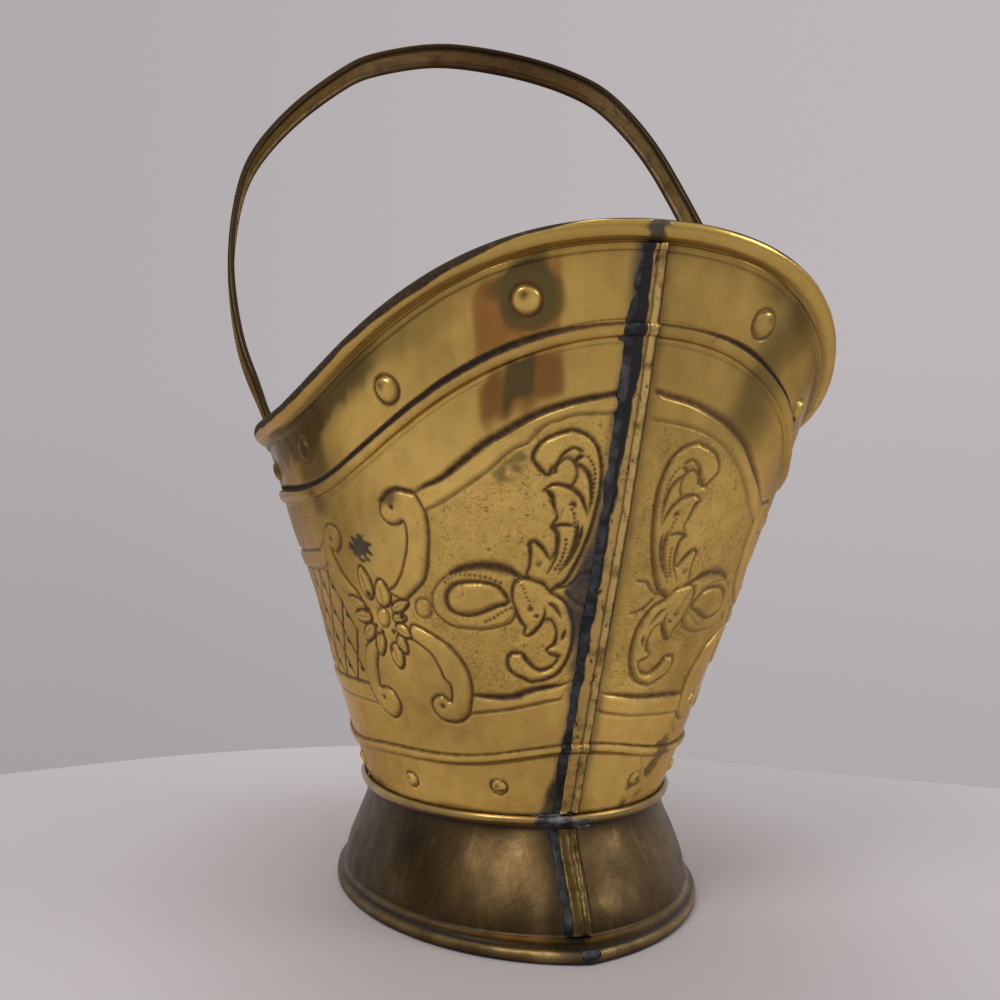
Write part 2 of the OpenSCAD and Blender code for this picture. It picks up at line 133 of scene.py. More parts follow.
def sheer(t, side, lip, full, sag):
    """Height of a line round the body that rises from the sides to the lips."""
    t = np.radians(t)
    part = (1 + np.cos(2 * t)) / 2 + full * (np.cos(2 * t) - np.cos(6 * t)) + sag * (1 - np.cos(4 * t))
    return side + (lip - side) * part


def rim_z(t):
    return sheer(t, SIDE, LIP, 0.0412, -0.0699)


def upper_z(t):
    return sheer(t, SIDE - 34.4, LIP - 36, 0.0406, -0.1162)


def lower_z(t):
    return sheer(t, 73.8, 85.8, -0.125, -0.05)


def curl_z(t):
    return rim_z(t) - CURL_OUT


def rim_bead_z(t):
    return curl_z(t) - CURL_OUT - 2.25


WAVES = [(rng.normal(size=3), rng.uniform(0, 6.3)) for _ in range(40)]


def wobble(p, length, count=9, start=0):
    """A smooth unevenness of about unit size over points p, with this wavelength in millimetres."""
    total = np.zeros(p.shape[:-1])
    for i in range(count):
        d, phase = WAVES[(start + i) % len(WAVES)]
        d = d / np.linalg.norm(d)
        total += np.sin(p @ d * (2 * math.pi / (length * (0.7 + 0.09 * i))) + phase)
    return total / math.sqrt(count / 2)


# ---- Meshes ----
def new_object(name, points, faces, attributes=None):
    """A smooth mesh of four-sided faces over points in millimetres, with a value per point for each attribute."""
    mesh = bpy.data.meshes.new(name)
    q = np.asarray(faces, np.int32)
    mesh.vertices.add(len(points))
    mesh.vertices.foreach_set("co", (np.asarray(points) * 0.001).astype(np.float32).ravel())
    mesh.loops.add(q.size)
    mesh.loops.foreach_set("vertex_index", q.ravel())
    mesh.polygons.add(len(q))
    mesh.polygons.foreach_set("loop_start", np.arange(0, q.size, q.shape[1], dtype=np.int32))
    mesh.polygons.foreach_set("use_smooth", np.ones(len(q), bool))
    for key, values in (attributes or {}).items():
        a = mesh.attributes.new(key, "FLOAT", "POINT")
        a.data.foreach_set("value", np.asarray(values, np.float32).ravel())
    mesh.update(calc_edges=True)
    mesh.validate()
    o = bpy.data.objects.new(name, mesh)
    bpy.context.scene.collection.objects.link(o)
    return o


def grid_faces(n, m, wrap_n=False, wrap_m=False):
    i = np.arange(n if wrap_n else n - 1)
    j = np.arange(m if wrap_m else m - 1)
    i, j = np.meshgrid(i, j, indexing="ij")
    i2, j2 = (i + 1) % n, (j + 1) % m
    return np.stack([i * m + j, i2 * m + j, i2 * m + j2, i * m + j2], -1).reshape(-1, 4)


def end_caps(n, m):
    """Faces that close both ends of a tube of n rings of m points."""
    return np.array([[m * k + j, m * k + j + 1, m * k + m - 2 - j, m * k + m - 1 - j]
                     for k in (0, n - 1) for j in range((m - 1) // 2)])


def facing_out(points, faces, centre, tested=slice(None)):
    """The faces turned so that most of those tested look away from a centre."""
    p = points[faces]
    normal = np.cross(p[:, 2] - p[:, 0], p[:, 3] - p[:, 1])
    away = p.mean(1) - centre
    return faces if (normal * away)[tested].sum() > 0 else faces[:, ::-1]


def smooth_line(points, closed=False, steps=4):
    p = np.asarray(points, float)
    if closed:
        p = np.vstack([p[-1], p, p[0], p[1]])
    else:
        p = np.vstack([2 * p[0] - p[1], p, 2 * p[-1] - p[-2]])
    out = []
    for a, b, c, d in zip(p, p[1:], p[2:], p[3:]):
        for f in np.arange(steps) / steps:
            out.append(0.5 * (2 * b + (c - a) * f + (2 * a - 5 * b + 4 * c - d) * f * f
                              + (3 * b - a - 3 * c + d) * f**3))
    out.append(p[-2])
    return np.array(out)


# ---- The stamped relief, drawn as strokes over one quarter of a half: degrees from the seam, height ----
FLATNESS = 0.62


class Relief:
    """Heights and darkness over a grid of points of the body, at stations t and heights z."""

    def __init__(self, t, z):
        self.t, self.z = t, z
        self.p = body_at(t[:, None], z, 0)
        self.up, self.down, self.dark, self.ground = (np.zeros(z.shape) for _ in range(4))

    def block(self, line, margin):
        """The part of the grid round a line, or None where it has no points."""
        i0, i1 = np.searchsorted(self.t, [line[:, 0].min() - margin / 1.3, line[:, 0].max() + margin / 1.3])
        z = self.z[i0:i1]
        rows = np.nonzero((z > line[:, 1].min() - margin).any(0) & (z < line[:, 1].max() + margin).any(0))[0]
        if len(rows) == 0:
            return None
        return slice(i0, i1), slice(rows[0], rows[-1] + 1)

    def distance(self, line, margin):
        """Distance of every point to a line, and how far along the line its nearest point is."""
        d = np.full(self.z.shape, 1e3)
        along = np.zeros(self.z.shape)
        q = body_at(line[:, 0], line[:, 1], 0)
        for k in range(len(line) - 1):
            b = self.block(line[k:k + 2], margin)
            if b is None:
                continue
            v = self.p[b] - q[k]
            s = q[k + 1] - q[k]
            f = np.clip(v @ s / max(s @ s, 1e-9), 0, 1)
            e = np.linalg.norm(v - f[..., None] * s, axis=-1)
            near = e < d[b]
            d[b] = np.where(near, e, d[b])
            along[b] = np.where(near, (k + f) / (len(line) - 1), along[b])
        return d, along

    def inside(self, line, b):
        """Which points of a block lie inside a closed line."""
        x, z = np.broadcast_to(self.t[b[0]][:, None], self.z[b].shape), self.z[b]
        found = np.zeros(z.shape, bool)
        for (x0, z0), (x1, z1) in zip(line, line[1:]):
            if z0 != z1:
                found ^= ((z0 > z) != (z1 > z)) & (x < (x1 - x0) * (z - z0) / (z1 - z0) + x0)
        return found

    def cut(self, depth, b=...):
        self.down[b] = np.maximum(self.down[b], depth)

    def darken(self, amount, b=...):
        self.dark[b] = np.maximum(self.dark[b], amount)

    def groove(self, points, w=0.9, depth=0.7, dark=0.8, closed=False, steps=4, taper=(1, 1)):
        line = smooth_line(points, closed, steps)
        d, along = self.distance(line, 3.2 * w + 1)
        wide = np.interp(along, np.linspace(0, 1, len(taper)), taper)
        reach = w * np.maximum(wide, 0.2)
        self.cut(depth * hill(d, 0, reach) * np.minimum(wide, 1))
        self.darken(dark * hill(d, 0, 1.15 * reach) * np.minimum(1, wide * 1.2))

    def raised(self, points, height, edge, w=0.9, depth=0.7, dark=0.8, steps=4, outline=True):
        """A rounded form, whose face is clear of grooves drawn before and whose edge has its own."""
        line = smooth_line(points, True, steps)
        d, _ = self.distance(line, edge + 1.5)
        b = self.block(line, 0.5)
        if b is None:
            return
        inside = self.inside(line, b)
        f = np.clip(d[b] / edge, 0, 1)
        rise = np.where(inside, FLATNESS * height * np.sin(f * math.pi / 2) ** 0.8, 0)
        self.up[b] = np.maximum(self.up[b], rise)
        face = inside & (d[b] > 1.2)
        self.down[b] = np.where(face, self.down[b] * 0.15, self.down[b])
        self.dark[b] = np.where(face, self.dark[b] * 0.2, self.dark[b])
        # Painted shade: a soft dark band just inside the edge of the form
        self.darken(np.where(inside, 0.30 * hill(d[b], 0, 2.3), 0), b)
        if outline:
            self.cut(depth * hill(d, 0, w))
            self.darken(dark * hill(d, 0, w))

    def fill(self, points, soft):
        """Marks the ground inside an outline."""
        line = smooth_line(points, True, 2)
        d, _ = self.distance(line, soft + 1)
        b = self.block(line, 0.5)
        amount = np.where(self.inside(line, b), np.clip(d[b] / soft, 0, 1), 0)
        self.ground[b] = np.maximum(self.ground[b], amount)

    def near(self, t, z, reach):
        """The block round a place, and the distances of its points from there."""
        b = self.block(np.array([[t, z], [t, z]]), reach)
        if b is None:
            return None, None
        return b, np.linalg.norm(self.p[b] - body_at(t, z, 0), axis=-1)

    def dot(self, t, z, r, height, dark=0.0):
        b, d = self.near(t, z, r * 2.6)
        if b is None:
            return
        g = hill(d, 0, r)
        if height > 0:
            self.up[b] += height * g
        else:
            self.cut(-height * g, b)
        self.darken(dark * g, b)

    def dots(self, points, step=2.1, r=0.85, depth=0.35, dark=0.9):
        line = smooth_line(points, False, 6)
        q = body_at(line[:, 0], line[:, 1], 0)
        s = np.concatenate([[0], np.cumsum(np.linalg.norm(np.diff(q, axis=0), axis=1))])
        for g in np.arange(step / 2, s[-1], step):
            self.dot(np.interp(g, s, line[:, 0]), np.interp(g, s, line[:, 1]), r, -depth, dark)

    def stud(self, t, z, r, dome):
        """An embossed boss: a pressed ring round a dome."""
        b, d = self.near(t, z, r * 2)
        if b is None:
            return
        ball = np.clip(1 - (d / (r * 0.94)) ** 2, 0, 1) ** 0.6
        self.up[b] = self.up[b] * np.clip(d / r - 1, 0, 1) + dome * ball
        self.down[b] *= d > r
        self.dark[b] *= d > r
        self.cut(0.8 * hill(d, r, r * 0.16), b)
        # Painted shade: a dark ring just outside the pressed ring
        self.darken(0.9 * hill(d, r * 1.03, r * 0.2), b)
        # Painted reflection: a dark spot on the dome, above and to one side of its middle
        spot = np.linalg.norm(self.p[b] - body_at(t + 0.4, z + 0.25 * r, 0), axis=-1)
        self.darken(0.75 * hill(spot, 0, 0.42 * r), b)


TOP_STRAP = [(3.6, 228.5), (7.4, 226.9), (10.9, 225.1), (15, 222.3), (17.7, 219.7), (20, 216.9), (22, 214.3),
             (25, 210.8), (30, 202.8), (33.1, 198.2), (36, 195.8), (38.4, 192.9)]
TOP_STRAP_LOW = [(3.4, 221.7), (10, 220.8), (12.7, 218.9), (15, 217.1), (17, 212.8), (18.1, 210.5), (20, 208.9),
                 (22, 205.8), (25, 200.2), (30, 193.3), (33.1, 189.4), (36.5, 186.3)]
UPPER_C = [(38.4, 192.9), (40.1, 193.7), (41.9, 194.5), (43.8, 192.7), (45.3, 190), (46, 186.2), (45.6, 183.5),
           (44.3, 181.2), (42.5, 181.2), (41.4, 182.3), (41, 180), (41.2, 175.4), (41.9, 170), (43, 165),
           (44, 160.8), (46, 155.8), (48, 153.1), (46.5, 151), (44, 149.6), (42.1, 152.3), (40.1, 155.4),
           (38.6, 158.5), (37.6, 163.8), (36.9, 170.8), (36.5, 176.9), (36.5, 184.6), (37, 188.5),
           (37.7, 191.9)]
BOTTOM_STRAP = [(5.2, 116.6), (7.4, 115), (10, 114.3), (15, 112.5), (17.7, 110.5), (20, 109.4), (25, 109.2),
                (29.1, 109.7)]
BOTTOM_STRAP_LOW = [(7.4, 108.6), (10, 107.8), (15, 105.8), (20, 103.8), (25, 102.5), (30.4, 101.2)]
LOWER_C = [(30.4, 101.2), (29.9, 105), (29.5, 110.5), (29.7, 115.8), (30.4, 120.5), (32, 125.8), (34.1, 130.5),
           (36, 133), (39, 136.5), (42.7, 139.2), (43.8, 136), (43.8, 133.1), (42.5, 131.9), (40.3, 129.2),
           (38.6, 126.2), (37.1, 120.8), (36.2, 116.2), (35, 114), (34.7, 110.5), (35, 106.8), (35.6, 106.3),
           (37.3, 108.5), (38.8, 108.1), (40.1, 106.5), (40.6, 103.8), (40.1, 100.8), (38.8, 98.1),
           (37.3, 96.9), (34.1, 96.6), (32, 98.2)]
UPPER_C2 = [(66.1, 165), (66.4, 170.5), (65.4, 175.6), (63.6, 180), (61.6, 181.5), (59.6, 179.5), (58.8, 175.5),
            (59.8, 171.2), (61.8, 169), (63.2, 171), (63.3, 167.6), (62.3, 163.5), (60.9, 158.6), (59, 154.4),
            (57.4, 151), (57, 148), (58.4, 146.2), (60.8, 149), (63.2, 153.8), (65, 159.4)]
LOWER_C2 = [(57.5, 108.5), (55.6, 108.8), (53.8, 108.5), (52.1, 106.5), (51, 102.7), (51.2, 99.2),
            (52.5, 96.2), (54.5, 94.5), (56.2, 95.4), (58.2, 97.7), (59.9, 100.4), (61.4, 105.4), (62, 110.8),
            (61.7, 116.9), (60.8, 122.3), (59.5, 126.9), (57.7, 129.2), (55.1, 131.2), (54.3, 129),
            (54.3, 126.9), (54.9, 125.4), (56.2, 121.5), (57, 116.9), (57.4, 112.3)]
LEAF = [(12.2, 154.7), (10.75, 157), (9.5, 158.2), (8.7, 160.5), (7.8, 164.3), (6.7, 169.7), (5.75, 175.8),
        (5.05, 182), (4.6, 188.9), (4.4, 194.3), (4.5, 199.7), (5, 205), (5.9, 209.7), (7.2, 212.8),
        (8.6, 214.5), (10.4, 215.5), (12, 214.7), (13.6, 213.5), (15, 212), (16.1, 209.7), (16.8, 207),
        (16.8, 204.7), (16.1, 202.8), (15.4, 201.2), (14.7, 199.7), (13.9, 199.7), (13.6, 201.6)]
LEAF_HOOK = [(13.4, 200.2), (12.9, 200.5), (12.8, 202.8), (12.2, 205.5), (11.5, 207.4), (10.4, 208.9),
             (9.5, 208.9), (8.6, 207.8)]
LEAF_IN = [(12.8, 202.8), (11.6, 205), (10.6, 205.4), (9.7, 203.9), (9, 201), (9.2, 197.5), (10.1, 194.9),
           (11.7, 195.7), (13.2, 195.8), (14.7, 193.7), (14, 193.2), (13.2, 191.2), (12.8, 188.2),
           (12, 183.5), (12.9, 180.4), (12, 178.5), (11.6, 175.8), (11.5, 172), (12.3, 168), (12.9, 167.8),
           (13.6, 169.7), (14.3, 171.6), (15.3, 173.5), (16.2, 174.3), (17, 173.2), (16.8, 172),
           (16.7, 168.2), (16.8, 164.3), (17.2, 161.2), (15.3, 158.5), (13.9, 158.2)]
SCROLL = [(12, 153.9), (10.4, 152.4), (9, 150.5), (7.9, 147.8), (7, 144.3), (6.4, 140.5), (6.1, 135.8),
          (6.2, 131.2), (6.8, 126.6), (7.8, 122.8), (9, 120), (10.75, 118.2), (12.9, 117), (15.3, 116.6),
          (17, 118.2), (18.6, 119.3), (20, 121.2), (20.7, 123.5), (20.8, 125.5), (20.6, 127.4),
          (19.8, 128.8), (18.9, 128.8), (17.9, 128.9)]
SCROLL_IN = [(17.2, 128.2), (16.4, 125.8), (15.3, 123.9), (14.2, 122.4), (12.9, 121.6), (11.7, 122),
             (10.75, 122.8)]
SCROLL_TOP = [(9.4, 125.2), (9.2, 127.6), (10.75, 128.5), (12, 130.1), (11.2, 131.6), (10.3, 132.8), (10, 135.8),
              (10.3, 139.5), (11.6, 143), (13.0, 143), (13.6, 141.6), (14.5, 139.3), (15.4, 137.4),
              (16.5, 136.2), (17.4, 137.4), (17, 139.7), (17.8, 141.6), (18.7, 144.3), (19.5, 148.2),
              (20.1, 152), (20, 157), (18.9, 159.6), (16.8, 159.2), (13.9, 157.6)]
EYE_RING = [(17.4, 160.2), (20, 162), (22.7, 163.8), (25.6, 164.6), (30, 163.5), (32.7, 161.2), (35, 158.2),
            (36.6, 154.3), (37.2, 150.5), (36.8, 145.8), (35.2, 142), (32.7, 139.4), (30, 138.9), (27, 138.5),
            (24, 139.3), (21.4, 140.8), (20, 142.4), (19.4, 146), (20.1, 152), (19.6, 157)]
ALMOND = [(20.9, 150.2), (22.7, 155.8), (24.9, 157.7), (27.7, 158.2), (30.6, 157.7), (32.7, 155.8), (33.8, 152),
          (33.4, 147.4), (31.6, 145), (29.1, 144.3), (26.3, 145.8), (23.4, 148.2)]
STEM = [(12.2, 155.1), (13.9, 158.2), (15.3, 158.5), (16.8, 159.5), (18.25, 160.5), (19.7, 161.6),
        (20.75, 162.8), (22.7, 163.9), (25.6, 164.6), (30, 163.6), (32.7, 161.3)]
# Petals of the flower: degrees, height, half length, half width, and direction from the right, in degrees
PETALS = [(49.9, 152.0, 5.4, 4.2, 95), (54.2, 156.2, 6.6, 3.4, 100), (58.4, 146.6, 5.2, 2.8, 150),
          (57.6, 140.8, 5.8, 2.9, 180), (56.9, 133.6, 5.6, 3.0, 215), (53.4, 128.8, 4.8, 3.0, 250),
          (48.4, 124.6, 5.2, 4.0, 282), (46.3, 130.0, 4.2, 2.6, 300), (45.4, 135.9, 5.0, 2.5, 335),
          (45.6, 146.8, 5.2, 2.3, 20), (46.2, 141.6, 4.0, 2.0, 2)]

# Straps of the right half, which was stamped a little off the left one
RIGHT_TOP = [(3.4, 229.8), (5, 228.6), (10, 226.5), (15, 223), (20, 218.6), (25, 212), (30, 203.2), (35, 196.5),
             (38.5, 191.8), (41.4, 189.4)]
RIGHT_TOP_LOW = [(3.4, 220.2), (5, 219.4), (10, 218), (15, 215.5), (20, 210.8), (25, 203.6), (30, 194.6),
                 (35, 187), (39.5, 182.4)]
RIGHT_BOTTOM = [(3.2, 111.2), (5, 110.2), (10, 109), (15, 107.6), (20, 107.2), (30, 106.5), (32.6, 106.2)]
RIGHT_BOTTOM_LOW = [(3.2, 103.2), (5, 101.6), (10, 100.2), (15, 99), (20, 98.6), (27, 97.8), (33.4, 97.7)]
RIGHT_SHIFT = 3.0, -3.5
# Lines chased into the leaf, and its rows of beading
LEAF_VEINS = [
    [(9.7, 203.9), (8.9, 203.2), (7.9, 201.6), (7, 199.7), (6.5, 197), (6.2, 193.5), (6.1, 188.9), (6.2, 185.1)],
    [(9.7, 203.9), (8.9, 205.8), (7.8, 206.2)],
    [(6.4, 183.9), (7, 187.4), (7.8, 190.8), (8.9, 193.2), (10.1, 194.7), (11.7, 195.7), (13.2, 195.8),
     (14, 194.7), (14.7, 193.7)],
    [(14.7, 193.7), (14, 193.2), (13.2, 191.2), (12.8, 188.2), (12, 183.5)],
    [(10, 188.2), (9.2, 188.5), (8.7, 187)],
    [(8.1, 182), (8, 178.9), (8.1, 175), (8.4, 171.2), (9, 167.8), (9.8, 164.7), (10.9, 161.6)],
    [(7.1, 180.5), (7.3, 176.6), (7.8, 172.8), (8.6, 168.2), (9.7, 163.9)],
    [(8.25, 180), (9.3, 180.5), (10.75, 180.8), (12.8, 180), (12, 178.5), (11.6, 175.8), (11.5, 172),
     (11.7, 168.2), (12.3, 165.1), (13.25, 161.6)],
    [(12.9, 167.8), (13.6, 169.7), (14.3, 171.6), (15.3, 173.5), (16.2, 174.3), (17, 173.2), (16.8, 172),
     (16.7, 168.2), (16.8, 164.3), (17.2, 161.2)]]
LEAF_BEADING = [
    [(7.8, 206.2), (7.2, 205.5), (6.7, 203.9), (6.2, 202), (5.9, 199.7), (5.8, 196.6), (5.8, 192.8), (5.9, 188.9)],
    [(9.8, 187), (9.3, 186.2), (8.9, 184.3), (8.6, 181.2), (8.4, 178.2), (8.5, 174.3), (8.9, 170.5), (9.5, 167.4),
     (10.3, 165.1), (11.1, 162.8)],
    [(10.1, 175.8), (10, 172.8), (10.3, 168.9), (11.1, 165.1), (12, 162.4)]]
SCROLL_VEINS = [
    [(8.25, 127.8), (9.5, 127.8), (10.75, 128.5), (12, 130.1)],
    [(12, 130.1), (11.2, 131.6), (10.3, 132.8), (10, 135.8), (10, 138.9)],
    [(8.25, 138.9), (8.4, 136.6), (8.8, 134.3)],
    [(12.6, 150.1), (11.4, 148.9), (10.3, 146.6), (9.3, 143.5)],
    [(13.2, 148.2), (13, 145.1), (13.6, 141.6), (14.5, 139.3), (15.4, 137.4), (16.5, 136.2), (17.4, 137.4)],
    [(17.4, 137.4), (17, 139.7), (17.8, 141.6), (18.7, 144.3), (19.5, 148.2), (20.1, 152)],
    [(14.2, 144.7), (15.4, 144.3)]]
SEAM_SHELL = [
    [(4, 162), (5.1, 161.6), (6.4, 161.2), (7.3, 158.9), (8.25, 157.4)],
    [(4, 148.5), (5.4, 149.3), (6.7, 150.5), (7.8, 152.4), (8.7, 154.3)],
    [(8.9, 156.6), (10.4, 156.2), (12.2, 154.7)]]
# Punched dots round the flower: degrees, height, size
FLOWER_DOTS = [(45.3, 142.3, 1.5), (55.7, 143.8, 1.6), (53.7, 151.3, 1.5), (49.9, 127.6, 1.5), (52.2, 134.6, 1.2),
               (48.6, 135.4, 1.2), (47.8, 147.4, 1.1), (54, 137.2, 1.0)]
# Middle of the flower, and the end of the side panel towards it by height, for its bars and for its knots
FLOWER = 51, 141.2
BAR_ENDS = [106, 117, 127, 135, 146, 150, 160], [63.5, 63, 61, 60.5, 62, 63.5, 67]
KNOT_ENDS = [106, 117, 127, 135, 146, 160], [63.5, 63, 61, 61, 63, 68]
BAR_STEP, PANEL_Z, KNOT_Z, KNOT_STEP, SIDE_AT = 7, 108, 115, 12.6, 92


def oval(t, z, half_t, half_z):
    return [(t + half_t * math.cos(s), z + half_z * math.sin(s)) for s in np.linspace(0, 2 * math.pi, 13)[:-1]]


def stamp(r, right):
    """Draws all of the relief on a quarter."""
    dt, dz = RIGHT_SHIFT if right else (0.0, 0.0)

    def at(points):
        return [(t + dt, z + dz) for t, z in points]

    def strap(over, under, height, edge, over_line, under_line, taper=(1, 1)):
        r.raised(over + under[::-1], height, edge, outline=False)
        r.groove(over, *over_line, taper=taper)
        r.groove(under, *under_line)

    def hole(t, z, size, depth, dark):
        r.dot(t + dt, z + dz, size, -depth, dark)

    top, top_low, low, low_low = TOP_STRAP, TOP_STRAP_LOW, BOTTOM_STRAP, BOTTOM_STRAP_LOW
    if right:
        top, top_low, low, low_low = RIGHT_TOP, RIGHT_TOP_LOW, RIGHT_BOTTOM, RIGHT_BOTTOM_LOW
    panel = at([(36.5, 176.9), (38.6, 158.5), (42, 152), (42.7, 139.2), (34, 130.5), (29.7, 115.8)])
    r.fill(top_low + panel + low[::-1], 2.5)
    strap(top, top_low, 1.3, 2.6, (1.7, 1.4, 1.05), (0.8, 0.6, 0.6), [0.8, 0.9, 1.1, 1.2, 1.1, 0.8, 0.6])
    strap(low, low_low, 1.2, 2.4, (1.5, 1.2, 1.05), (0.8, 0.6, 0.7), [0.5, 0.7, 1.1, 1.3, 1.1, 0.7])
    for over, under in (([(66.6, 173.5), (70, 169.8), (75, 169.2), (82, 168.7), (87, 168.5)],
                         [(66.6, 164.0), (70, 161.3), (75, 160.5), (82, 160.1), (87, 160)]),
                        ([(61.9, 108.4), (70, 108.3), (80, 108.3), (86, 108.3)],
                         [(60, 99.8), (70, 99.7), (80, 99.7), (86, 99.7)])):
        over, under = (at(line) + [(SIDE_AT, line[-1][1] + dz)] for line in (over, under))
        strap(over, under, 1.2, 2.4, (1.1, 0.9, 0.8), (0.8, 0.6, 0.6))
    # Lattice of the side panel: bars that lean both ways, and knots between them
    for k in range(-3, 9):
        for lean in (-1, 1):
            start = 62 + BAR_STEP * k + dt + (4 * BAR_STEP if lean < 0 else 0)
            line = [(start + lean * s * BAR_STEP / 2, PANEL_Z + dz + s * KNOT_STEP)
                    for s in np.linspace(0, 4.1, 9)]
            line = [(t, z) for t, z in line if np.interp(z - dz, *BAR_ENDS) + dt < t < SIDE_AT]
            if len(line) > 2:
                r.groove(line, 1.0, 1.0, 1.0, steps=2)
    for k in range(6):
        for row in range(4):
            t = 64.5 + BAR_STEP * k + (BAR_STEP / 2 if row % 2 else 0) + dt
            z = KNOT_Z + row * KNOT_STEP + dz
            if np.interp(z - dz, *KNOT_ENDS) + dt < t < SIDE_AT - 1:
                r.dot(t, z, 1.8, 0.8)
                r.dot(t, z, 1.5, -0.9, 1.15)
    # C-scrolls with the holes in their heads
    for outline, eye_of_scroll in ((UPPER_C, (43.1, 188)), (LOWER_C, (37.3, 103.8)), (UPPER_C2, (62, 174.8)),
                                   (LOWER_C2, (56.2, 103.8))):
        r.raised(at(outline), 1.7, 3.4, 0.95, 0.8, 0.85)
        hole(*eye_of_scroll, 1.5, 1.0, 1.0)
    r.groove(at([(38.6, 193.4), (40.1, 194.3), (41.9, 194.9), (43.8, 193.2), (45.5, 190)]), 1.4, 1.0, 1.0)
    # Flower
    t0, z0 = FLOWER[0] + dt, FLOWER[1] + dz
    mm_per_deg = np.linalg.norm(body_at(t0 + 1, z0, 0) - body_at(t0 - 1, z0, 0)) / 2
    for t, z, half_len, half_wid, way in PETALS:
        along, across = math.cos(math.radians(way)), math.sin(math.radians(way))
        half_len, half_wid = 1.12 * half_len, 1.12 * half_wid
        petal = []
        for s in np.linspace(0, 2 * math.pi, 14, endpoint=False):
            u, v = half_len * math.cos(s), half_wid * math.sin(s) * (1 - 0.25 * math.cos(s))
            petal.append((t - (u * along - v * across) / mm_per_deg, z + u * across + v * along))
        r.raised(at(petal), 1.5, 2.6, 0.95, 0.8, 0.95, steps=3)
        r.groove(at([(t + f * half_len * along / mm_per_deg, z - f * half_len * across) for f in (0.7, 0, -0.4)]),
                 0.7, 0.45, 0.5)
    r.raised(at(oval(*FLOWER, 1.75, 4.3)), 2.0, 3.6, 0.9, 0.9, 0.7)
    for t, z, size in FLOWER_DOTS:
        hole(t, z, 1.25 * size, 1.0, 1.1)
    # Ring between flower and eye, and the eye-shaped loop
    r.raised(at(oval(39.5, 146.6, 2.0, 4.2)), 0.8, 2.6, 0.8, 0.6, 0.7)
    r.raised(at(EYE_RING), 1.3, 2.6, 0.85, 0.6, 0.7)
    r.raised(at(ALMOND), 2.1, 3.6, 1.2, 1.1, 0.85)
    r.groove(at(ALMOND), 1.2, 1.1, 0.9, closed=True)
    r.dots(at([(22, 157.5), (25, 160), (27, 160.7), (30.5, 161), (32.3, 160), (34, 157.5)]))
    r.dots(at([(19.9, 148.2), (22, 146), (24, 143.5), (26, 141.6)]))
    r.groove(at([(31.1 + 1.1 * math.cos(s), 153.8 + 2.4 * math.sin(s)) for s in np.linspace(0, 5.4, 9)]),
             0.5, 0.3, 0.4)
    # Upper acanthus
    r.raised(at(LEAF + LEAF_IN), 1.7, 2.8)
    r.groove(at(LEAF), 1.05, 0.9, 0.9)
    r.groove(at(LEAF_HOOK), 0.9, 0.8, 0.85)
    for line in LEAF_VEINS:
        r.groove(at(line), 1.0, 0.8, 0.95, taper=[0.5, 1.0, 1.25, 1.1, 0.8, 0.5])
    for line in LEAF_BEADING:
        r.dots(at(line), 1.9, 0.8, 0.4, 1.0)
    hole(14.9, 165.5, 1.6, 0.8, 0.8)
    r.groove(at(STEM), 1.3, 1.1, 1.0, taper=[0.5, 0.5, 0.6, 0.8, 1.0, 1.5, 1.9, 1.9, 1.5, 0.8])
    # Lower scroll
    r.raised(at(SCROLL + SCROLL_IN + SCROLL_TOP), 1.7, 2.8)
    r.groove(at(SCROLL), 1.1, 0.9, 0.9)
    r.groove(at(SCROLL_IN), 1.15, 1.0, 0.9)
    for line in SCROLL_VEINS:
        r.groove(at(line), 0.95, 0.8, 0.9, taper=[0.5, 1.0, 1.2, 0.9, 0.5])
    r.dots(at([(16.1, 148.2), (16.7, 150.8), (17.3, 153.5), (17.9, 156.2), (18.9, 158.2), (20, 159.7)]), 1.9, 0.75,
           0.4, 0.8)
    r.dots(at([(8.2, 146), (7.4, 141), (7.2, 136), (7.5, 131)]), 2.2, 0.6, 0.25, 0.4)
    hole(16.1, 147.4, 1.5, 0.8, 0.95)
    for line in SEAM_SHELL:
        r.groove(at(line), 0.9, 0.9, 0.85)
    # Studs above and below, then small dents on the ground, pits and scratches
    for t, z in ([(20.5, 256), (39, 228), (62, 212), (90, 208)] if right else
                 [(18, 259.7), (40.3, 232), (63.5, 213), (90, 208)]):
        r.stud(t, z, 5.6, 2.2)
    for t, z in ((22.9, 67.4), (52.9, 65), (88.5, 62.5)):
        r.stud(t, z, 3.7, 1.5)
    for _ in range(230):
        t, z = rng.uniform(4, 42), rng.uniform(112, 222)
        b = r.block(np.array([[t, z], [t, z]]), 0.7)
        if b is not None and r.ground[b].size and r.ground[b].mean() > 0.6 and r.up[b].mean() < 0.2:
            r.dot(t, z, rng.uniform(0.5, 1.0), -rng.uniform(0.12, 0.35), rng.uniform(0.2, 0.7))
    for _ in range(60):
        t, z = rng.uniform(4, 88), rng.uniform(60, 260)
        r.dot(t, z, rng.uniform(0.5, 0.9), -rng.uniform(0.1, 0.3), rng.uniform(0.1, 0.6))
    if right:
        r.dark *= 0.74
    for _ in range(26):
        t, z, way = rng.uniform(6, 86), rng.uniform(66, 250), rng.uniform(0, 3.14)
        s = rng.uniform(2, 5)
        r.groove([(t, z), (t + s * math.cos(way) / 2, z + s * math.sin(way))], 0.45, 0.16, 0.5, steps=2)


# ---- The two halves of the body ----
STATIONS, MIDDLE_ROWS = ((761, 270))
MIDDLE = np.array([0, 0, 150.0])


def bead(z, size, n):
    """Rows over a bead at height z: their heights, and how far they stand out."""
    a = np.radians(np.linspace(-90, 90, n))
    return z[:, None] + size[0] / 2 * np.sin(a), np.broadcast_to(size[1] * np.cos(a), (len(z), n))


def plain(z0, z1, n):
    z = z0[:, None] + (z1 - z0)[:, None] * (np.arange(n) / n)
    return z, np.zeros(z.shape)


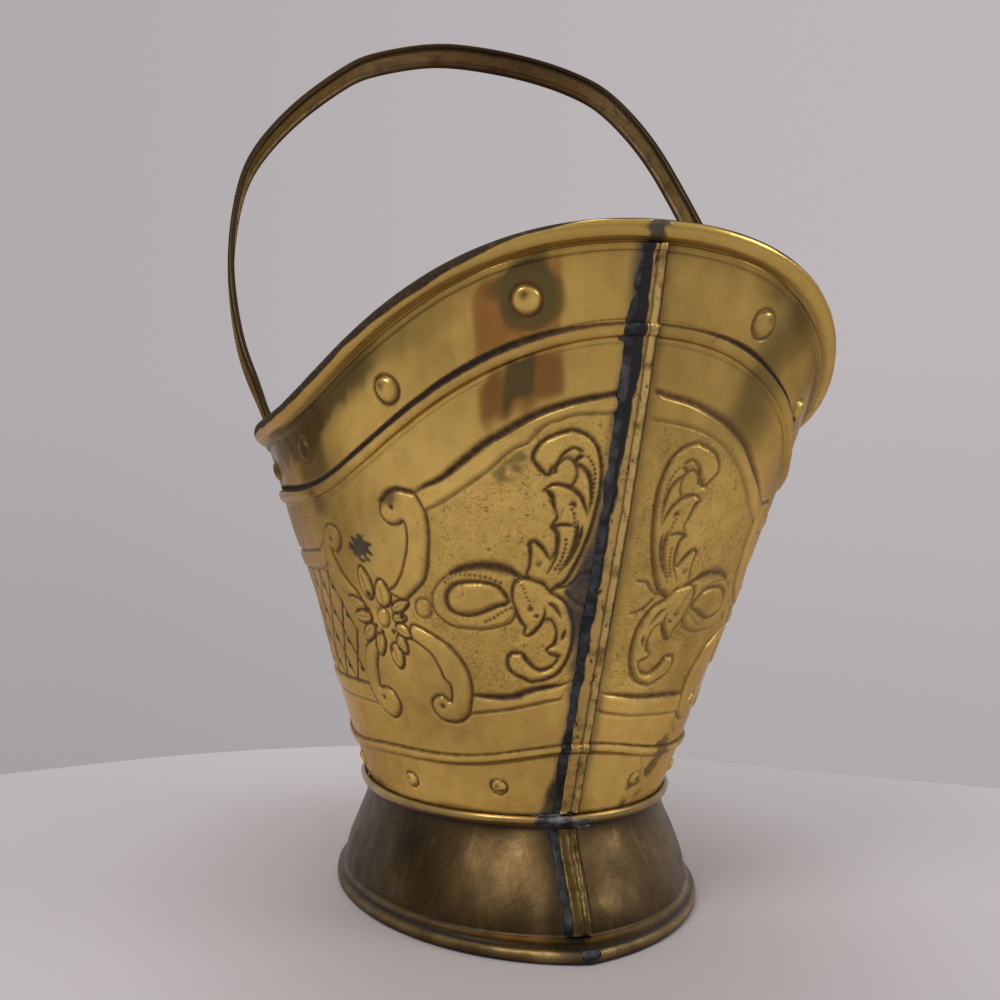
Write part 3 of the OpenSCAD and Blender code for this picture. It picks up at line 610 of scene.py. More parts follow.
def wall_rows(t):
    """Heights of the rows of the wall, and how far the beads put them out, from the base to below the roll."""
    low, up, high = lower_z(t), upper_z(t), rim_bead_z(t)
    parts = (plain(np.full(len(t), BODY_Z), low - 2.3, 26), bead(low, LOWER_BEAD, 13),
             plain(low + 2.4, up - 2.6, MIDDLE_ROWS), bead(up, UPPER_BEAD, 15),
             plain(up + 2.6, high - 1.6, 44), bead(high, RIM_BEAD, 11))
    return [np.hstack(part) for part in zip(*parts)]


def darken_beads(r):
    """Dark lines above and below each bead: tarnish in the incised line, painted reflection and shade on the
    beads' faces, and painted shade at the foot of the wall above the collar.
    """
    t = r.t[:, None]
    over = r.z - upper_z(t)
    # Painted reflection of the dark room: a broad dark band on the upper bead's upward face, narrower near the
    # seam
    reach = 0.9 + 1.0 * ease((t - 4) / 18)
    band = np.clip(1.4 * np.exp(-(((over - 1.0 - reach) / reach) ** 4)), 0, 1.15)
    r.darken(band * (0.75 + 0.25 * np.clip((t - 8) / 20, 0, 1)))
    for at, width, depth, dark in ((3.1, 0.9, 0.5, 0), (-4.3, 0.55, 0.3, 0.4), (-3.0, 0.7, 0.45, 0)):
        r.cut(depth * hill(over, at, width))
        r.darken(dark * hill(over, at, width))
    # Painted shade and reflection above and below the lower bead and the rim's bead
    for over, at, width, dark in ((r.z - lower_z(t), 2.2, 1.1, 0.75), (r.z - lower_z(t), -2.6, 0.8, 0.5),
                                  (r.z - rim_bead_z(t), 1.9, 0.7, 0.28), (r.z - rim_bead_z(t), -1.7, 0.6, 0.3)):
        r.darken(dark * hill(over, at, width))
    # Painted shade at the foot of the wall, where it meets the collar
    r.darken(0.9 * np.clip(1 - (r.z - BODY_Z - 3.6) / 2.2, 0, 1))


def left_patches(t, z, base, ground):
    """Painted reflection, painted shade and reflection with some dark marks, and worn patches of the left half, t
    in degrees from the nearer seam.
    """
    above = z - upper_z(t)
    front = base[..., 1] < 0
    n1, n2 = wobble(base, 26, 8, 5), wobble(base, 9, 8, 21)
    # Painted reflections of the room: reddish patches above and below the upper bead, with a dark core
    under_bead = between(t + 0.3 * n1, 12.6, 25.2, 0.25) * between(above + n2, -20, -4, 0.8)
    over_bead = between(t + 0.3 * n1, 13.2, 26.4 - 0.05 * above, 0.2) * between(above + n2, 3, 27, 1.0)
    stain = 0.95 * over_bead + under_bead
    smoke = 0.3 * under_bead + 0.95 * between(t + 0.2 * n1, 17.0, 21.4, 0.15) * between(above + n2, -17.5, -4, 0.5)
    # Painted shade and reflection round the first stud, kept off its own dome
    smoke += 0.95 * short_of(np.hypot((t - 17.7) * 2.15, z - 260.5) + 0.5 * n2, 10.6, 0.5) * front
    smoke += 0.9 * between(t + 0.4 * n1, 14.8, 20.0, 0.2) * between(above + 0.5 * n2, 12, 30, 1.0)
    off_stud = np.clip(np.hypot((t - 18) * 2.15, z - 259.7) - 5.0, 0, 1)
    stain, smoke = stain * off_stud, smoke * off_stud
    # Painted shade and reflection towards the side and under the rim
    smoke += 0.95 * between(t + 0.5 * n1, 41, 100, 1.0) * between(above + 0.35 * (t - 62) + n2, 18, 60, 1.0)
    smoke += 0.9 * between(t + 0.5 * n1, 57, 68, 0.7) * between(above + 0.5 * n2, 2, 60, 1.5)
    smoke += 0.8 * between(t + 0.4 * n1, 61, 66, 0.6) * between(above + n2, -10, 0, 1.0)
    # Pitted ground beside the leaf, and the head of the scroll
    pits = 1.3 * (hill(t, 22.3, 2.6) * hill(z, 200.5, 3.6) + hill(t, 19.6, 2.0) * hill(z, 207.5, 4.6))
    smoke += 0.75 * np.clip(pits * (1 + 0.5 * wobble(base, 5, 9, 13)), 0, 1) * ground * front
    head = hill(t, 43.4, 1.9) * hill(z, 191.8, 2.6)
    smoke += 0.9 * np.clip(1.6 * head * (1 + 0.3 * n2), 0, 1) * front
    worn = hill(t, 53.2, 3.3) * hill(z, 171.4, 6.2) * (1 + 0.22 * wobble(base, 3.6, 9, 9))
    return stain, smoke, np.clip((worn - 0.40) * 8, 0, 1) * front


def right_patches(t, z, base):
    # Painted shade and reflection on the right half: a dark band from the rim down past the upper bead, a duller
    # side above it, and a dark mark low on the front
    above = z - upper_z(t)
    n1, n2 = wobble(base, 26, 8, 5), wobble(base, 9, 8, 21)
    smoke = 0.85 * between(t + 0.6 * n1 - 0.10 * (above + 20), 17, 27, 1.2) * between(above, -26, 60, 3.0)
    smoke += 0.4 * between(t, 38, 100, 4.0) * between(above, 8, 60, 4.0)
    blot = hill(t, 26 + 0.35 * (z - 66), 4.5) * hill(z, 74, 17) * (1 + 0.6 * n2 + 0.3 * wobble(base, 4.5, 9, 7))
    smoke += 0.95 * np.clip(2.2 * blot - 0.5, 0, 1) * (base[..., 1] < 0)
    return np.zeros(z.shape), smoke, np.zeros(z.shape)


def painted_wall_light_and_mottling(t, z, base, is_left):
    """How bright the brass is painted: a random mottling, and painted light and shade, brighter low on the wall
    and darker just under the upper bead, towards the sides and under the rim.
    """
    above = z - upper_z(t)
    n1, n2, n3 = wobble(base, 26, 8, 5), wobble(base, 9, 8, 21), wobble(base, 70, 9, 28)
    tone = np.interp(above, [-200, -142, -122, -40, -10, 20], [1.2, 1.14, 0.93, 0.93, 0.84, 0.88])
    tone *= 1 - 0.30 * ease((t - 46 - n1) / 18) * ease((z - 92) / 40) if is_left else 0.94
    tone *= 1 + 0.07 * n3 + 0.03 * n2
    return tone * (1 - 0.35 * between(above + 1.5 * n1 + 0.12 * (t - 40), 22, 60, 2.0))


def body_half(name, sign):
    is_left = sign < 0
    stations = np.linspace(0, 180, STATIONS)
    z, off = wall_rows(stations)
    quarter = (STATIONS + 1) // 2
    r = Relief(stations[:quarter], z[:quarter])
    stamp(r, not is_left)
    darken_beads(r)

    def both_quarters(a):
        return np.vstack([a, a[:-1][::-1]])

    t = sign * stations[:, None]
    base = body_at(t, z, 0)
    off = off + both_quarters(r.up - r.down) + 0.34 * wobble(base, 58, 9, 3) + 0.06 * wobble(base, 17, 8, 14)
    from_seam = np.minimum(stations, 180 - stations)[:, None]
    ground = both_quarters(r.ground)
    patches = left_patches(from_seam, z, base, ground) if is_left else right_patches(from_seam, z, base)
    stain, smoke, worn = patches
    # Solder beside the seam, on one side of it, and painted shadow of the folded strip beside it, mostly on the
    # other side
    n2 = wobble(base, 9, 8, 21)
    beside = np.abs(base[..., 0])
    soldered = sign * base[..., 1] > 0
    reach = 0.4 * n2 + np.interp(z, [50, 62, 80, 118, 131, 140, 150, 156, 164, 175, 189, 205, 215, 225],
                                 [13, 11.5, 7.9, 9, 10.2, 12, 15.2, 16.2, 13, 9.8, 8.3, 8.3, 9.2, 7.9])
    lead = np.maximum(soldered * short_of(beside, reach, 0.7), worn)
    soot = np.where(soldered, 0.6 * (beside > 8), 0.8) * short_of(beside, 6.3 + 0.4 * n2, 0.8)
    smoke = np.maximum(smoke, soot)

    # The rolled rim, which closes on the wall, the inside of the wall, and the flange
    roll = np.linspace(-78, 180, 30)
    curl = curl_z(stations)[:, None]
    edge_line = body_at(t[:, 0], rim_z(stations), 0)
    dent = 0.12 * np.abs(wobble(edge_line, 30, 8, 9))[:, None]
    z_rim = np.hstack([curl - 3.55, curl - 3.3, curl + CURL_OUT * np.sin(np.radians(roll))])
    off_rim = np.hstack([np.tile([0.7, 1.7], (STATIONS, 1)),
                         CURL_IN + (CURL_OUT - 0.1 - dent) * np.cos(np.radians(roll))])
    back = np.arange(z.shape[1] - 1, 3, -3)
    z_in = np.hstack([np.maximum(z[:, back], BODY_Z + SHEET),
                      np.tile([BODY_Z + SHEET, BODY_Z + SHEET, BODY_Z], (STATIONS, 1))])
    off_in = np.hstack([off[:, back] - SHEET, np.tile([-SHEET, -FLANGE, -FLANGE], (STATIONS, 1))])
    p = body_at(t, np.hstack([z, z_rim, z_in]), np.hstack([off, off_rim, off_in]))
    p[..., 0] += sign * SEAT / 2
    n_wall, n_rim, n_in = z.shape[1], z_rim.shape[1], z_in.shape[1]

    def widen(wall, rim=0.0, inside=0.0):
        """Values on the wall, the rolled rim and the inside, side by side."""
        return np.hstack([wall, np.broadcast_to(rim, (STATIONS, n_rim)),
                          np.broadcast_to(inside, (STATIONS, n_in))])

    # Painted reflection and shade on the rolled rim: a dark top from an angle that varies round the rim, and dark
    # lines where the roll meets the wall and inside the roll
    turn = np.hstack([-100, -88, roll])[None]
    rim_shade_from = 54 - 74 * ease((from_seam - 6) / 26) if is_left else 46 - 16 * ease((from_seam - 4) / 14)
    rim_shade_from = rim_shade_from + 3.2 * wobble(edge_line, 24, 8, 2)[:, None]
    rim_shade_and_reflection = 1.1 * past(turn, rim_shade_from, 2) * short_of(turn, 112, 8)
    rim_shade_and_reflection = np.maximum(rim_shade_and_reflection, np.maximum(0.4 * hill(turn, -92, 14), 0.75 * hill(turn, 165, 30)))
    rim_reach = (5 if is_left else 2.5) + 1.1 * wobble(p[:, n_wall:n_wall + n_rim], 5, 9, 12)
    points, m = p.reshape(-1, 3), p.shape[1]
    outer = np.tile(np.arange(m) < n_wall - 1, STATIONS - 1)
    faces = facing_out(points, grid_faces(STATIONS, m, wrap_m=True), MIDDLE, outer)
    return new_object(name, points, faces, {
        "dark": widen(both_quarters(r.dark), rim_shade_and_reflection), "ground": widen(ground), "stain": widen(stain),
        "smoke": widen(smoke), "lead": widen(lead, short_of(beside[:, -1:], rim_reach, 0.4)),
        "inner": widen(np.zeros(z.shape), 0, 1), "tone": widen(painted_wall_light_and_mottling(from_seam, z, base, is_left), 0.85, 0.8),
        "crest": widen(np.clip(both_quarters(r.up) / 1.7, 0, 1))})


left = body_half("body_left_shell", -1)
right = body_half("body_right_shell", 1)


# ---- Seam strips and their solder ----
def profile_at_seam():
    """Heights up the front seam, and how far its beads put them out."""
    low, up, high = lower_z(0.0), upper_z(0.0), rim_bead_z(0.0)
    zs, offs = [], []
    for start, stop, n, at, size, rows in ((55.2, low - 2.4, 30, low, LOWER_BEAD, 9),
                                           (low + 2.5, up - 2.6, 150, up, UPPER_BEAD, 9),
                                           (up + 2.6, high - 1.6, 26, high, RIM_BEAD, 7)):
        a = np.radians(np.linspace(-90, 90, rows))
        zs += [np.linspace(start, stop, n), at + size[0] / 2 * np.sin(a)]
        offs += [np.zeros(n), size[1] * np.cos(a)]
    return np.concatenate(zs), np.concatenate(offs)


def on_wall(x, z, off):
    """A point of the body at a signed distance x beside the seam, whose beads drop with the sheer."""
    t = x / np.abs(body_at(1.0, z, 0)[..., 0])
    drop = upper_z(np.abs(t)) - upper_z(0.0)
    share = np.clip((z - BODY_Z) / (upper_z(0.0) - BODY_Z), 0, 1.15)
    return body_at(t, z + drop * share, off)


def on_foot_wall(x, z, off):
    g = skirt(z)
    return foot_at(x / np.abs(foot_at(1.0, g, z, 0)[..., 0]), g, z, off)


# Section of the folded strip: distance across and height, the raised edge of the sheet at the right
STRIP = np.array([(-4.6, -0.35), (-4.55, 0.35), (-4.3, 0.85), (-3.6, 1.1), (-2.6, 1.2), (-1.6, 1.15), (-0.8, 0.95),
                  (-0.1, 0.7), (0.5, 0.55), (0.9, 0.95), (1.25, 1.4), (1.7, 1.66), (2.3, 1.72), (2.9, 1.55),
                  (3.3, 1.1), (3.7, 0.8), (4.2, 0.6), (4.6, 0.1), (4.6, -0.35)])
SOLDER_FROM, SOLDER_WIDE, SOLDER_HIGH = -4.3, 3.6, 0.9


def laid(x, z, off, place, back):
    """Points of rows laid along a seam, and those turned round to the back."""
    p = place(x, np.broadcast_to(z[:, None], x.shape), off).reshape(-1, 3)
    return p * BEHIND if back else p


def strip_piece(name, z, off, place, back, seed):
    p0 = place(np.zeros(len(z)), z, off)
    n, n2 = (wobble(p0, length, 8, start)[:, None] for length, start in ((34, seed), (8, seed + 7)))
    x, h = STRIP.T
    ridge = np.clip(1 - np.abs(x - 2.2) / 1.8, 0, 1)
    across = x + 0.35 * n * ridge + 0.10 * n2 * (np.abs(x) < 4)
    points = laid(across, z, SEAT + h * (1 + 0.10 * n2 * (h > 0.3)) + off[:, None], place, back)
    faces = facing_out(points, grid_faces(*across.shape, wrap_m=True), MIDDLE)
    clean_to = np.interp(p0[:, 2:], [55, 110, 150, 200, 225, 240], [4.3, 3.8, 2.9, 2.2, 1.2, 0.2])
    fray = 0.30 * wobble(p0, 17, 8, seed + 3) + 0.16 * wobble(p0, 4.3, 9, seed + 12)
    # Painted shadow in the dip before the raised edge and beside it
    gap = np.clip(0.8 * hill(x, 0.5, 0.4) + hill(x, 4.0, 0.6), 0, 1)
    return new_object(name, points, np.vstack([faces, end_caps(*across.shape)]), {
        "flat": np.broadcast_to(x < 0.7, across.shape), "gap": np.broadcast_to(gap, across.shape),
        "soot": np.clip((-x - clean_to + fray[:, None]) / 0.9, 0, 1)})


def solder_piece(name, z, off, place, back, seed):
    f = np.linspace(0, 1, 15)
    p0 = place(np.full(len(z), SOLDER_FROM - 3), z, off)
    wide = SOLDER_WIDE * (1 + 0.08 * wobble(p0, 30, 8, seed) + 0.03 * wobble(p0, 7, 8, seed + 3))
    across = SOLDER_FROM - f * wide[:, None]
    on_face = place(across, *(np.broadcast_to(v[:, None], across.shape) for v in (z, off)))
    lumps = wobble(on_face, 8.5, 9, seed + 11) * 0.20 + wobble(on_face, 3.6, 9, seed + 5) * 0.08
    high = SOLDER_HIGH * (0.95 + lumps) * np.minimum(1.2 * (1 - f) ** 0.6, 1)
    high[:, -1] = -0.25
    high = np.hstack([np.full((len(z), 1), -0.25), high])
    across = np.hstack([across[:, :1], across])
    points = laid(across, z, off[:, None] + SEAT + high, place, back)
    return new_object(name, points, facing_out(points, grid_faces(*across.shape, wrap_m=True), MIDDLE))


seam_run = (*profile_at_seam(), on_wall)
foot_run = (np.linspace(9.2, 47.9, 60), np.zeros(60), on_foot_wall)
seam_pieces, solder_pieces = [], []
for side, back, seeds in (("front", False, (12, 15, 8, 18)), ("back", True, (2, 5, 1, 4))):
    fold = strip_piece(f"{side}_seam_fold", *seam_run, back, seeds[0])
    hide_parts(f"{side}_seam_strip")
    foot_fold = strip_piece(f"foot_{side}_fold", *foot_run, back, seeds[1])
    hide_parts(f"foot_{side}_strip")
    run = solder_piece(f"{side}_seam_solder_run", *seam_run, back, seeds[2])
    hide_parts(f"{side}_seam_solder")
    low_run = solder_piece(f"foot_{side}_solder_run", *foot_run, back, seeds[3])
    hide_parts(f"foot_{side}_solder")
    seam_pieces += [fold, foot_fold]
    solder_pieces += [run, low_run]


# ---- Collar ring ----
def collar():
    t = np.linspace(-180, 180, 540, endpoint=False)
    a = np.linspace(-90, 90, 15)
    dent = np.clip(0.06 * wobble(body_at(t, COLLAR_Z, 0), 40, 8, 6)[:, None], -0.3, 0.05)
    rings = []
    for z, off in ((COLLAR_Z + COLLAR[0] / 2 * np.sin(np.radians(a)),
                    SEAT + (COLLAR[1] - 0.1 + dent) * np.cos(np.radians(a))),
                   (COLLAR_Z + np.array([2.0, 0.8, -0.4, -1.6, -2.4]), SEAT * 0.4)):
        p = body_at(t[:, None], np.maximum(z, BODY_Z), off)
        p[..., 2] = z
        rings.append(p)
    p = np.concatenate(rings, 1)
    n, m = p.shape[:2]
    points = p.reshape(-1, 3)
    faces = facing_out(points, grid_faces(n, m, wrap_n=True, wrap_m=True), np.array([0, 0, 52.0]))
    dark = np.zeros((n, m))
    # Painted shade along the ring's top and bottom, where it meets the wall
    dark[:, :len(a)] = np.clip(hill(a, -88, 22) + hill(a, 88, 26), 0, 1)
    o = new_object("collar_band", points, faces, {"dark": dark})
    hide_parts("collar_ring")
    return o


ring = collar()


def lump(name, place, x_mid, z_mid, half_x, half_z, thick, seed):
    """A flat puddle of solder on a surface."""
    n, m = 41, 25
    u, v = np.meshgrid(np.linspace(-1, 1, n), np.linspace(-1, 1, m), indexing="ij")
    x, z = x_mid + u * half_x, z_mid + v * half_z
    p0 = place(x, z, np.zeros(x.shape))
    r = np.hypot(u, v) * (1 + 0.10 * wobble(p0, 9, 8, seed))
    high = thick * np.clip(1 - r**2.2, -0.3, 1) * (1 + 0.22 * wobble(p0, 4.5, 8, seed + 4))
    top, low = place(x, z, high).reshape(-1, 3), place(x, z, np.full(x.shape, -0.5)).reshape(-1, 3)
    faces = facing_out(top, grid_faces(n, m), np.array([0, 0, 55.0]))
    ids = np.arange(n * m).reshape(n, m)
    rim = np.concatenate([ids[:, 0], ids[-1, 1:], ids[-2::-1, -1], ids[0, -2:0:-1]])
    side = np.stack([rim, np.roll(rim, -1), np.roll(rim, -1) + n * m, rim + n * m], -1)
    return new_object(name, np.vstack([top, low]), np.vstack([faces, faces[:, ::-1] + n * m, side]))


def on_collar(x, z, off):
    a = np.clip((z - COLLAR_Z) / (COLLAR[0] / 2), -1, 1)
    out = SEAT + 3.1 * np.sqrt(np.maximum(1 - a * a, 0))
    p = body_at(x / body_at(1.0, COLLAR_Z, 0)[0], np.maximum(z, BODY_Z), out + off)
    p[..., 2] = z
    return p


def on_foot_roll(x, z, off):
    per_degree = np.abs(foot_at(1.0, 1.0, z, 0)[..., 0])
    return foot_at(x / per_degree, 1.0, z, off - 0.3 * ((z - 2.6) / 1.9) ** 2)


def on_bead(x, z, off):
    a = np.clip((z - upper_z(0.0)) / (UPPER_BEAD[0] / 2), -1, 1)
    return on_wall(x, z, UPPER_BEAD[1] * np.sqrt(1 - a * a) + off)


for args in (("collar_solder_left", on_collar, -7.5, BODY_Z + 1.2, 8.6, 3.2, 0.55, 3),
             ("collar_solder_right", on_collar, 6.2, BODY_Z - 0.6, 4.6, 2.4, 0.5, 17),
             ("foot_roll_solder", on_foot_roll, 0.6, 3.3, 4.6, 2.6, 0.9, 21),
             ("bead_solder", on_bead, -6.0, upper_z(0.0) - 0.4, 4.2, 3.6, 0.9, 25)):
    solder_pieces.append(lump(*args))


# ---- Foot ----
# Rows of the rolled edge and of the inside: height, share of the flare, distance outside the foot's surface
FOOT_TAIL = [(8.6, float(skirt(8.6)), 0), (7.3, 0.79, 0), (6.5, 0.87, 0), (5.7, 1, -2.1), (4.8, 1, -0.8),
             (3.3, 1, -0.02), (1.6, 1, -0.06), (0.35, 1, -0.3), (0.12, 1, -0.9)]
FOOT_INSIDE = np.array([(0.3, 1, -1.6), (1.2, 1, -1.05), (3.3, 1, -1.0), (4.4, 1, -1.8), (5, 1, -3.1),
                        (5.9, 0.87, -1), (6.9, 0.79, -1)]
                       + [(z, float(skirt(z)), -1.0) for z in np.linspace(CREASE, FOOT_H - 1, 14)]
                       + [(FOOT_H - 1, 0, -FLANGE), (FOOT_H, 0, -FLANGE)])


def foot_half(name, sign):
    t = sign * np.linspace(0, 180, 361)[:, None]
    z = np.linspace(FOOT_H, CREASE + 0.9, 64)
    z, g, off = np.vstack([np.stack([z, skirt(z), np.zeros(64)], 1), smooth_line(FOOT_TAIL)]).T
    p0 = foot_at(t, g, z, off)
    fade = np.clip((FOOT_H - z) / 8, 0, 1) * np.clip(z / 9, 0.1, 1)
    dent = (0.28 * wobble(p0, 60, 9, 8) + 0.10 * wobble(p0, 18, 9, 20)) * fade
    dent -= 0.10 * np.abs(wobble(p0, 13, 8, 2)) * np.clip(1 - np.abs(z - 3) / 3, 0, 1)
    in_z, in_g, in_off = FOOT_INSIDE.T
    p = np.concatenate([foot_at(t, g, z, off + dent), foot_at(t, in_g, in_z, in_off)], 1)
    p[..., 0] += sign * SEAT / 2
    n, m = p.shape[:2]
    points = p.reshape(-1, 3)
    skirt_faces = np.tile(np.arange(m) < 60, n - 1)
    faces = facing_out(points, grid_faces(n, m, wrap_m=True), np.array([0, 0, 25.0]), skirt_faces)
    x, z = np.abs(p[..., 0]), p[..., 2]
    # Painted shade in the groove and the crease, along the bottom edge on the floor and at the top under the body
    dark = np.maximum.reduce([hill(z, 5.9, 0.8) + 0.7 * hill(z, 8.9, 0.6), np.clip(1 - z / 1.6, 0, 1),
                              np.clip(1 - (FOOT_H - 2.2 - z) / 2, 0, 1)])
    # Painted highlight on the rolled edge, and fainter on the cove above it
    edge = hill(z, 3.2, 1.5) + 0.5 * hill(z, 7.6, 0.7)
    soldered = sign * p[..., 1] > 0
    lead = short_of(x, 8.6 + 0.9 * wobble(p, 9, 8, 4), 0.8) * np.where(z > 6, 1, 0.4) * soldered
    front = p[..., 1] < 0
    # Painted light: the left half darker and the right half lighter, with a random mottling
    tone = (0.78 if sign < 0 else 1.15) * (1 + 0.16 * wobble(p, 48, 8, 12))
    # Painted highlight: a bright streak on the left front beside the seam, and a broad brighter patch on the right
    # front
    if sign < 0:
        tone *= 1 + 1.5 * front * hill(x, 17 + 1.5 * wobble(p, 20, 8, 1), 6)
    else:
        tone *= 1 + 0.6 * front * hill(x, 58, 14)
    return new_object(name, points, faces, {
        "dark": np.clip(dark, 0, 1), "edge": np.clip(edge, 0, 1), "lead": lead, "tone": tone})


foot_l = foot_half("foot_left_shell", -1)
foot_r = foot_half("foot_right_shell", 1)


# ---- Bail ----
# Centre line of each leg up to the grip, as shares of the reach across and up
LEFT_LEG = [(0.97, 0.281), (1, 0.421), (0.974, 0.562), (0.922, 0.667), (0.791, 0.772), (0.675, 0.843),
            (0.534, 0.913), (0.437, 0.948), (0.2, 0.992)]
RIGHT_LEG = [(0.972, 0.281), (1, 0.38), (0.963, 0.49), (0.905, 0.58), (0.827, 0.702), (0.769, 0.772),
             (0.693, 0.843), (0.585, 0.913), (0.478, 0.948), (0.279, 0.983)]
OVER_RIM = [(0, 0), (0.0287, 0.0365), (0.0533, 0.0765), (0.0881, 0.1257)]
# Half widths of the strip at its necks and above them, radius of its edges and width of the folds inside
NECK, WIDER, EDGE, FOLD = 6, 3.5, 1.5, 2.6
# Section of an eye: radius and distance across
EYE = np.array([(3.06, 1.25), (3.06, -1.25), (3.4, -1.25), (7.1, -1.25), (7.45, -0.9), (7.5, 0), (7.45, 0.9),
                (7.1, 1.25), (3.4, 1.25)])


def leg(shares):
    return ([(EYE_X, 7.5), (EYE_X + 0.6, 11)] + [(RIM_X + a * SPREAD, RIM_REACH + b * REACH) for a, b in OVER_RIM]
            + [(a * SPREAD, b * REACH) for a, b in shares])


def tilt(x, r, w):
    """From the bail's own plane, x across, r from the pivots and w towards the front, to the part's frame."""
    s, c = math.sin(LEAN), math.cos(LEAN)
    return np.stack([x, r * s - w * c, PIVOT_Z + r * c + w * s], -1)


def bail_section(wide, hollow):
    """Points round the strip for each ring: outer face, one edge and its fold, the floor, the other edge."""
    core = wide - EDGE
    floor = -1.2 + hollow * 1.5
    half = [(core + EDGE * math.cos(a), EDGE * math.sin(a) * 1.1 - 0.1)
            for a in np.radians(np.linspace(78, -90, 13))]
    half += [(core - FOLD * 0.55, -1.72), (core - FOLD, -1.45), (core - FOLD - 0.25, -1.0),
             (core - FOLD - 0.1, floor - 0.05), (core - FOLD - 0.9, floor)]
    face = [(f * core, 1.75 - 0.35 * f * f) for f in np.linspace(-1, 1, 17)[1:-1]]
    bed = [(f * (core - FOLD - 0.9), floor) for f in np.linspace(1, -1, 9)[1:-1]]
    section = face + half + bed + [(-u, v) for u, v in half[::-1]]
    return (np.stack([np.broadcast_to(point[i], wide.shape) for point in section], 1) for i in (0, 1))


def bail():
    line = smooth_line([(-x, r) for x, r in leg(LEFT_LEG)] + [(0, REACH)] + leg(RIGHT_LEG)[::-1], False, 14)
    for _ in range(34):
        line[1:-1] += 0.5 * (line[:-2] + line[2:] - 2 * line[1:-1])
    tangent = np.gradient(line, axis=0)
    tangent /= np.linalg.norm(tangent, axis=1)[:, None]
    normal = np.stack([-tangent[:, 1], tangent[:, 0]], 1)
    past_rim = line[:, 1] - RIM_REACH
    full = ease((past_rim - 6) / 24)[:, None]
    wide = NECK + WIDER * full
    u, v = bail_section(wide[:, 0], 0.45 * ease((past_rim - 26) / 12))
    x, r = (line[:, None, i] + normal[:, None, i] * v for i in (0, 1))
    # Narrow necks have no room for the folds
    u = u * (0.96 + 0.04 * full)
    n, m = u.shape
    middle = tilt(line[:, 0], line[:, 1], np.zeros(n))
    p = tilt(x, r, u)
    p[..., 1] += 0.6 * 0.22 * wobble(middle, 55, 9, 3)[:, None] * full
    points = p.reshape(-1, 3)
    faces = facing_out(points, grid_faces(n, m, wrap_m=True), np.repeat(middle[:-1], m, axis=0))
    # Painted shade towards the strip's folded edges
    dark = np.clip((np.abs(u) / wide - 0.40) / 0.40, 0, 1)
    all_points, all_faces = [points], [faces, end_caps(n, m)]
    a = np.radians(np.linspace(0, 360, 56, endpoint=False))[:, None]
    radius, across = EYE.T
    for sign in (-1, 1):
        r, w = radius * np.cos(a), radius * np.sin(a)
        eye_points = tilt(np.broadcast_to(sign * EYE_X + across, r.shape), r, w).reshape(-1, 3)
        faces = grid_faces(*r.shape, wrap_n=True, wrap_m=True)
        pivot = np.array([sign * EYE_X, 0, PIVOT_Z])
        rim = np.linalg.norm((eye_points[faces].mean(1) - pivot)[:, 1:], axis=1) > 7.2
        all_faces.append(facing_out(eye_points, faces, pivot, rim) + sum(len(some) for some in all_points))
        all_points.append(eye_points)
    points = np.vstack(all_points)
    dark = np.concatenate([dark.ravel(), np.zeros(len(points) - dark.size)])
    return new_object("bail", points, np.vstack(all_faces), {"dark": dark})


bail_piece = bail()


# ---- Materials ----
def lin(*rgb):
    """A colour of the screen, in 0 to 255, as linear light."""
    return (*(v / 3294.6 if v <= 10.31 else ((v / 255 + 0.055) / 1.055) ** 2.4 for v in rgb), 1)


class Tree:
    """Short ways to add nodes to a node tree."""

    def __init__(self, tree):
        self.t = tree

    def put(self, socket, value):
        if hasattr(value, "links"):
            self.t.links.new(value, socket)
        else:
            socket.default_value = value

    def node(self, kind, ins=(), out=0, **props):
        n = self.t.nodes.new(kind)
        for k, v in props.items():
            setattr(n, k, v)
        for k, v in dict(ins).items():
            self.put(n.inputs[k], v)
        return n.outputs[out]

    def math(self, op, a, b):
        return self.node("ShaderNodeMath", {0: a, 1: b}, operation=op)

    def times(self, a, b):
        return self.math("MULTIPLY", a, b)

    def span(self, v, lo, hi, a=0.0, b=1.0):
        return self.node("ShaderNodeMapRange", {0: v, 1: lo, 2: hi, 3: a, 4: b})

    def mix(self, f, a, b):
        return self.node("ShaderNodeMix", {0: f, 6: a, 7: b}, out=2, data_type="RGBA")

    def scaled(self, colour, factor):
        return self.node("ShaderNodeVectorMath", {0: colour, 3: factor}, operation="SCALE")


class Mat(Tree):
    def __init__(self, name):
        self.m = bpy.data.materials.new(name)
        self.m.use_nodes = True
        super().__init__(self.m.node_tree)
        self.b = next(n for n in self.t.nodes if n.type == "BSDF_PRINCIPLED")
        self.coord = self.t.nodes.new("ShaderNodeTexCoord").outputs["Object"]

    def noise(self, scale, detail=4, rough=0.55, stretch=None, distortion=0.0):
        vec = self.coord
        if stretch:
            vec = self.node("ShaderNodeMapping", {"Vector": self.coord, "Scale": stretch})
        return self.node("ShaderNodeTexNoise", {"Vector": vec, "Scale": scale, "Detail": detail,
                                                "Roughness": rough, "Distortion": distortion})

    def voronoi(self, scale):
        return self.node("ShaderNodeTexVoronoi", {"Vector": self.coord, "Scale": scale})

    def attr(self, name):
        return self.node("ShaderNodeAttribute", out=2, attribute_name=name)

    def bumps(self, *layers):
        """Bumps laid over each other, each a height, a strength and a distance in metres."""
        normal = None
        for height, strength, distance in layers:
            ins = {"Height": height, "Strength": strength, "Distance": distance}
            normal = self.node("ShaderNodeBump", ins if normal is None else {**ins, "Normal": normal})
        return normal

    def done(self, colour, rough, metal, normal, tint=None):
        for key, value in (("Base Color", colour), ("Roughness", rough), ("Metallic", metal), ("Normal", normal)):
            self.put(self.b.inputs[key], value)
        if tint:
            self.b.inputs["Specular Tint"].default_value = tint
        return self.m


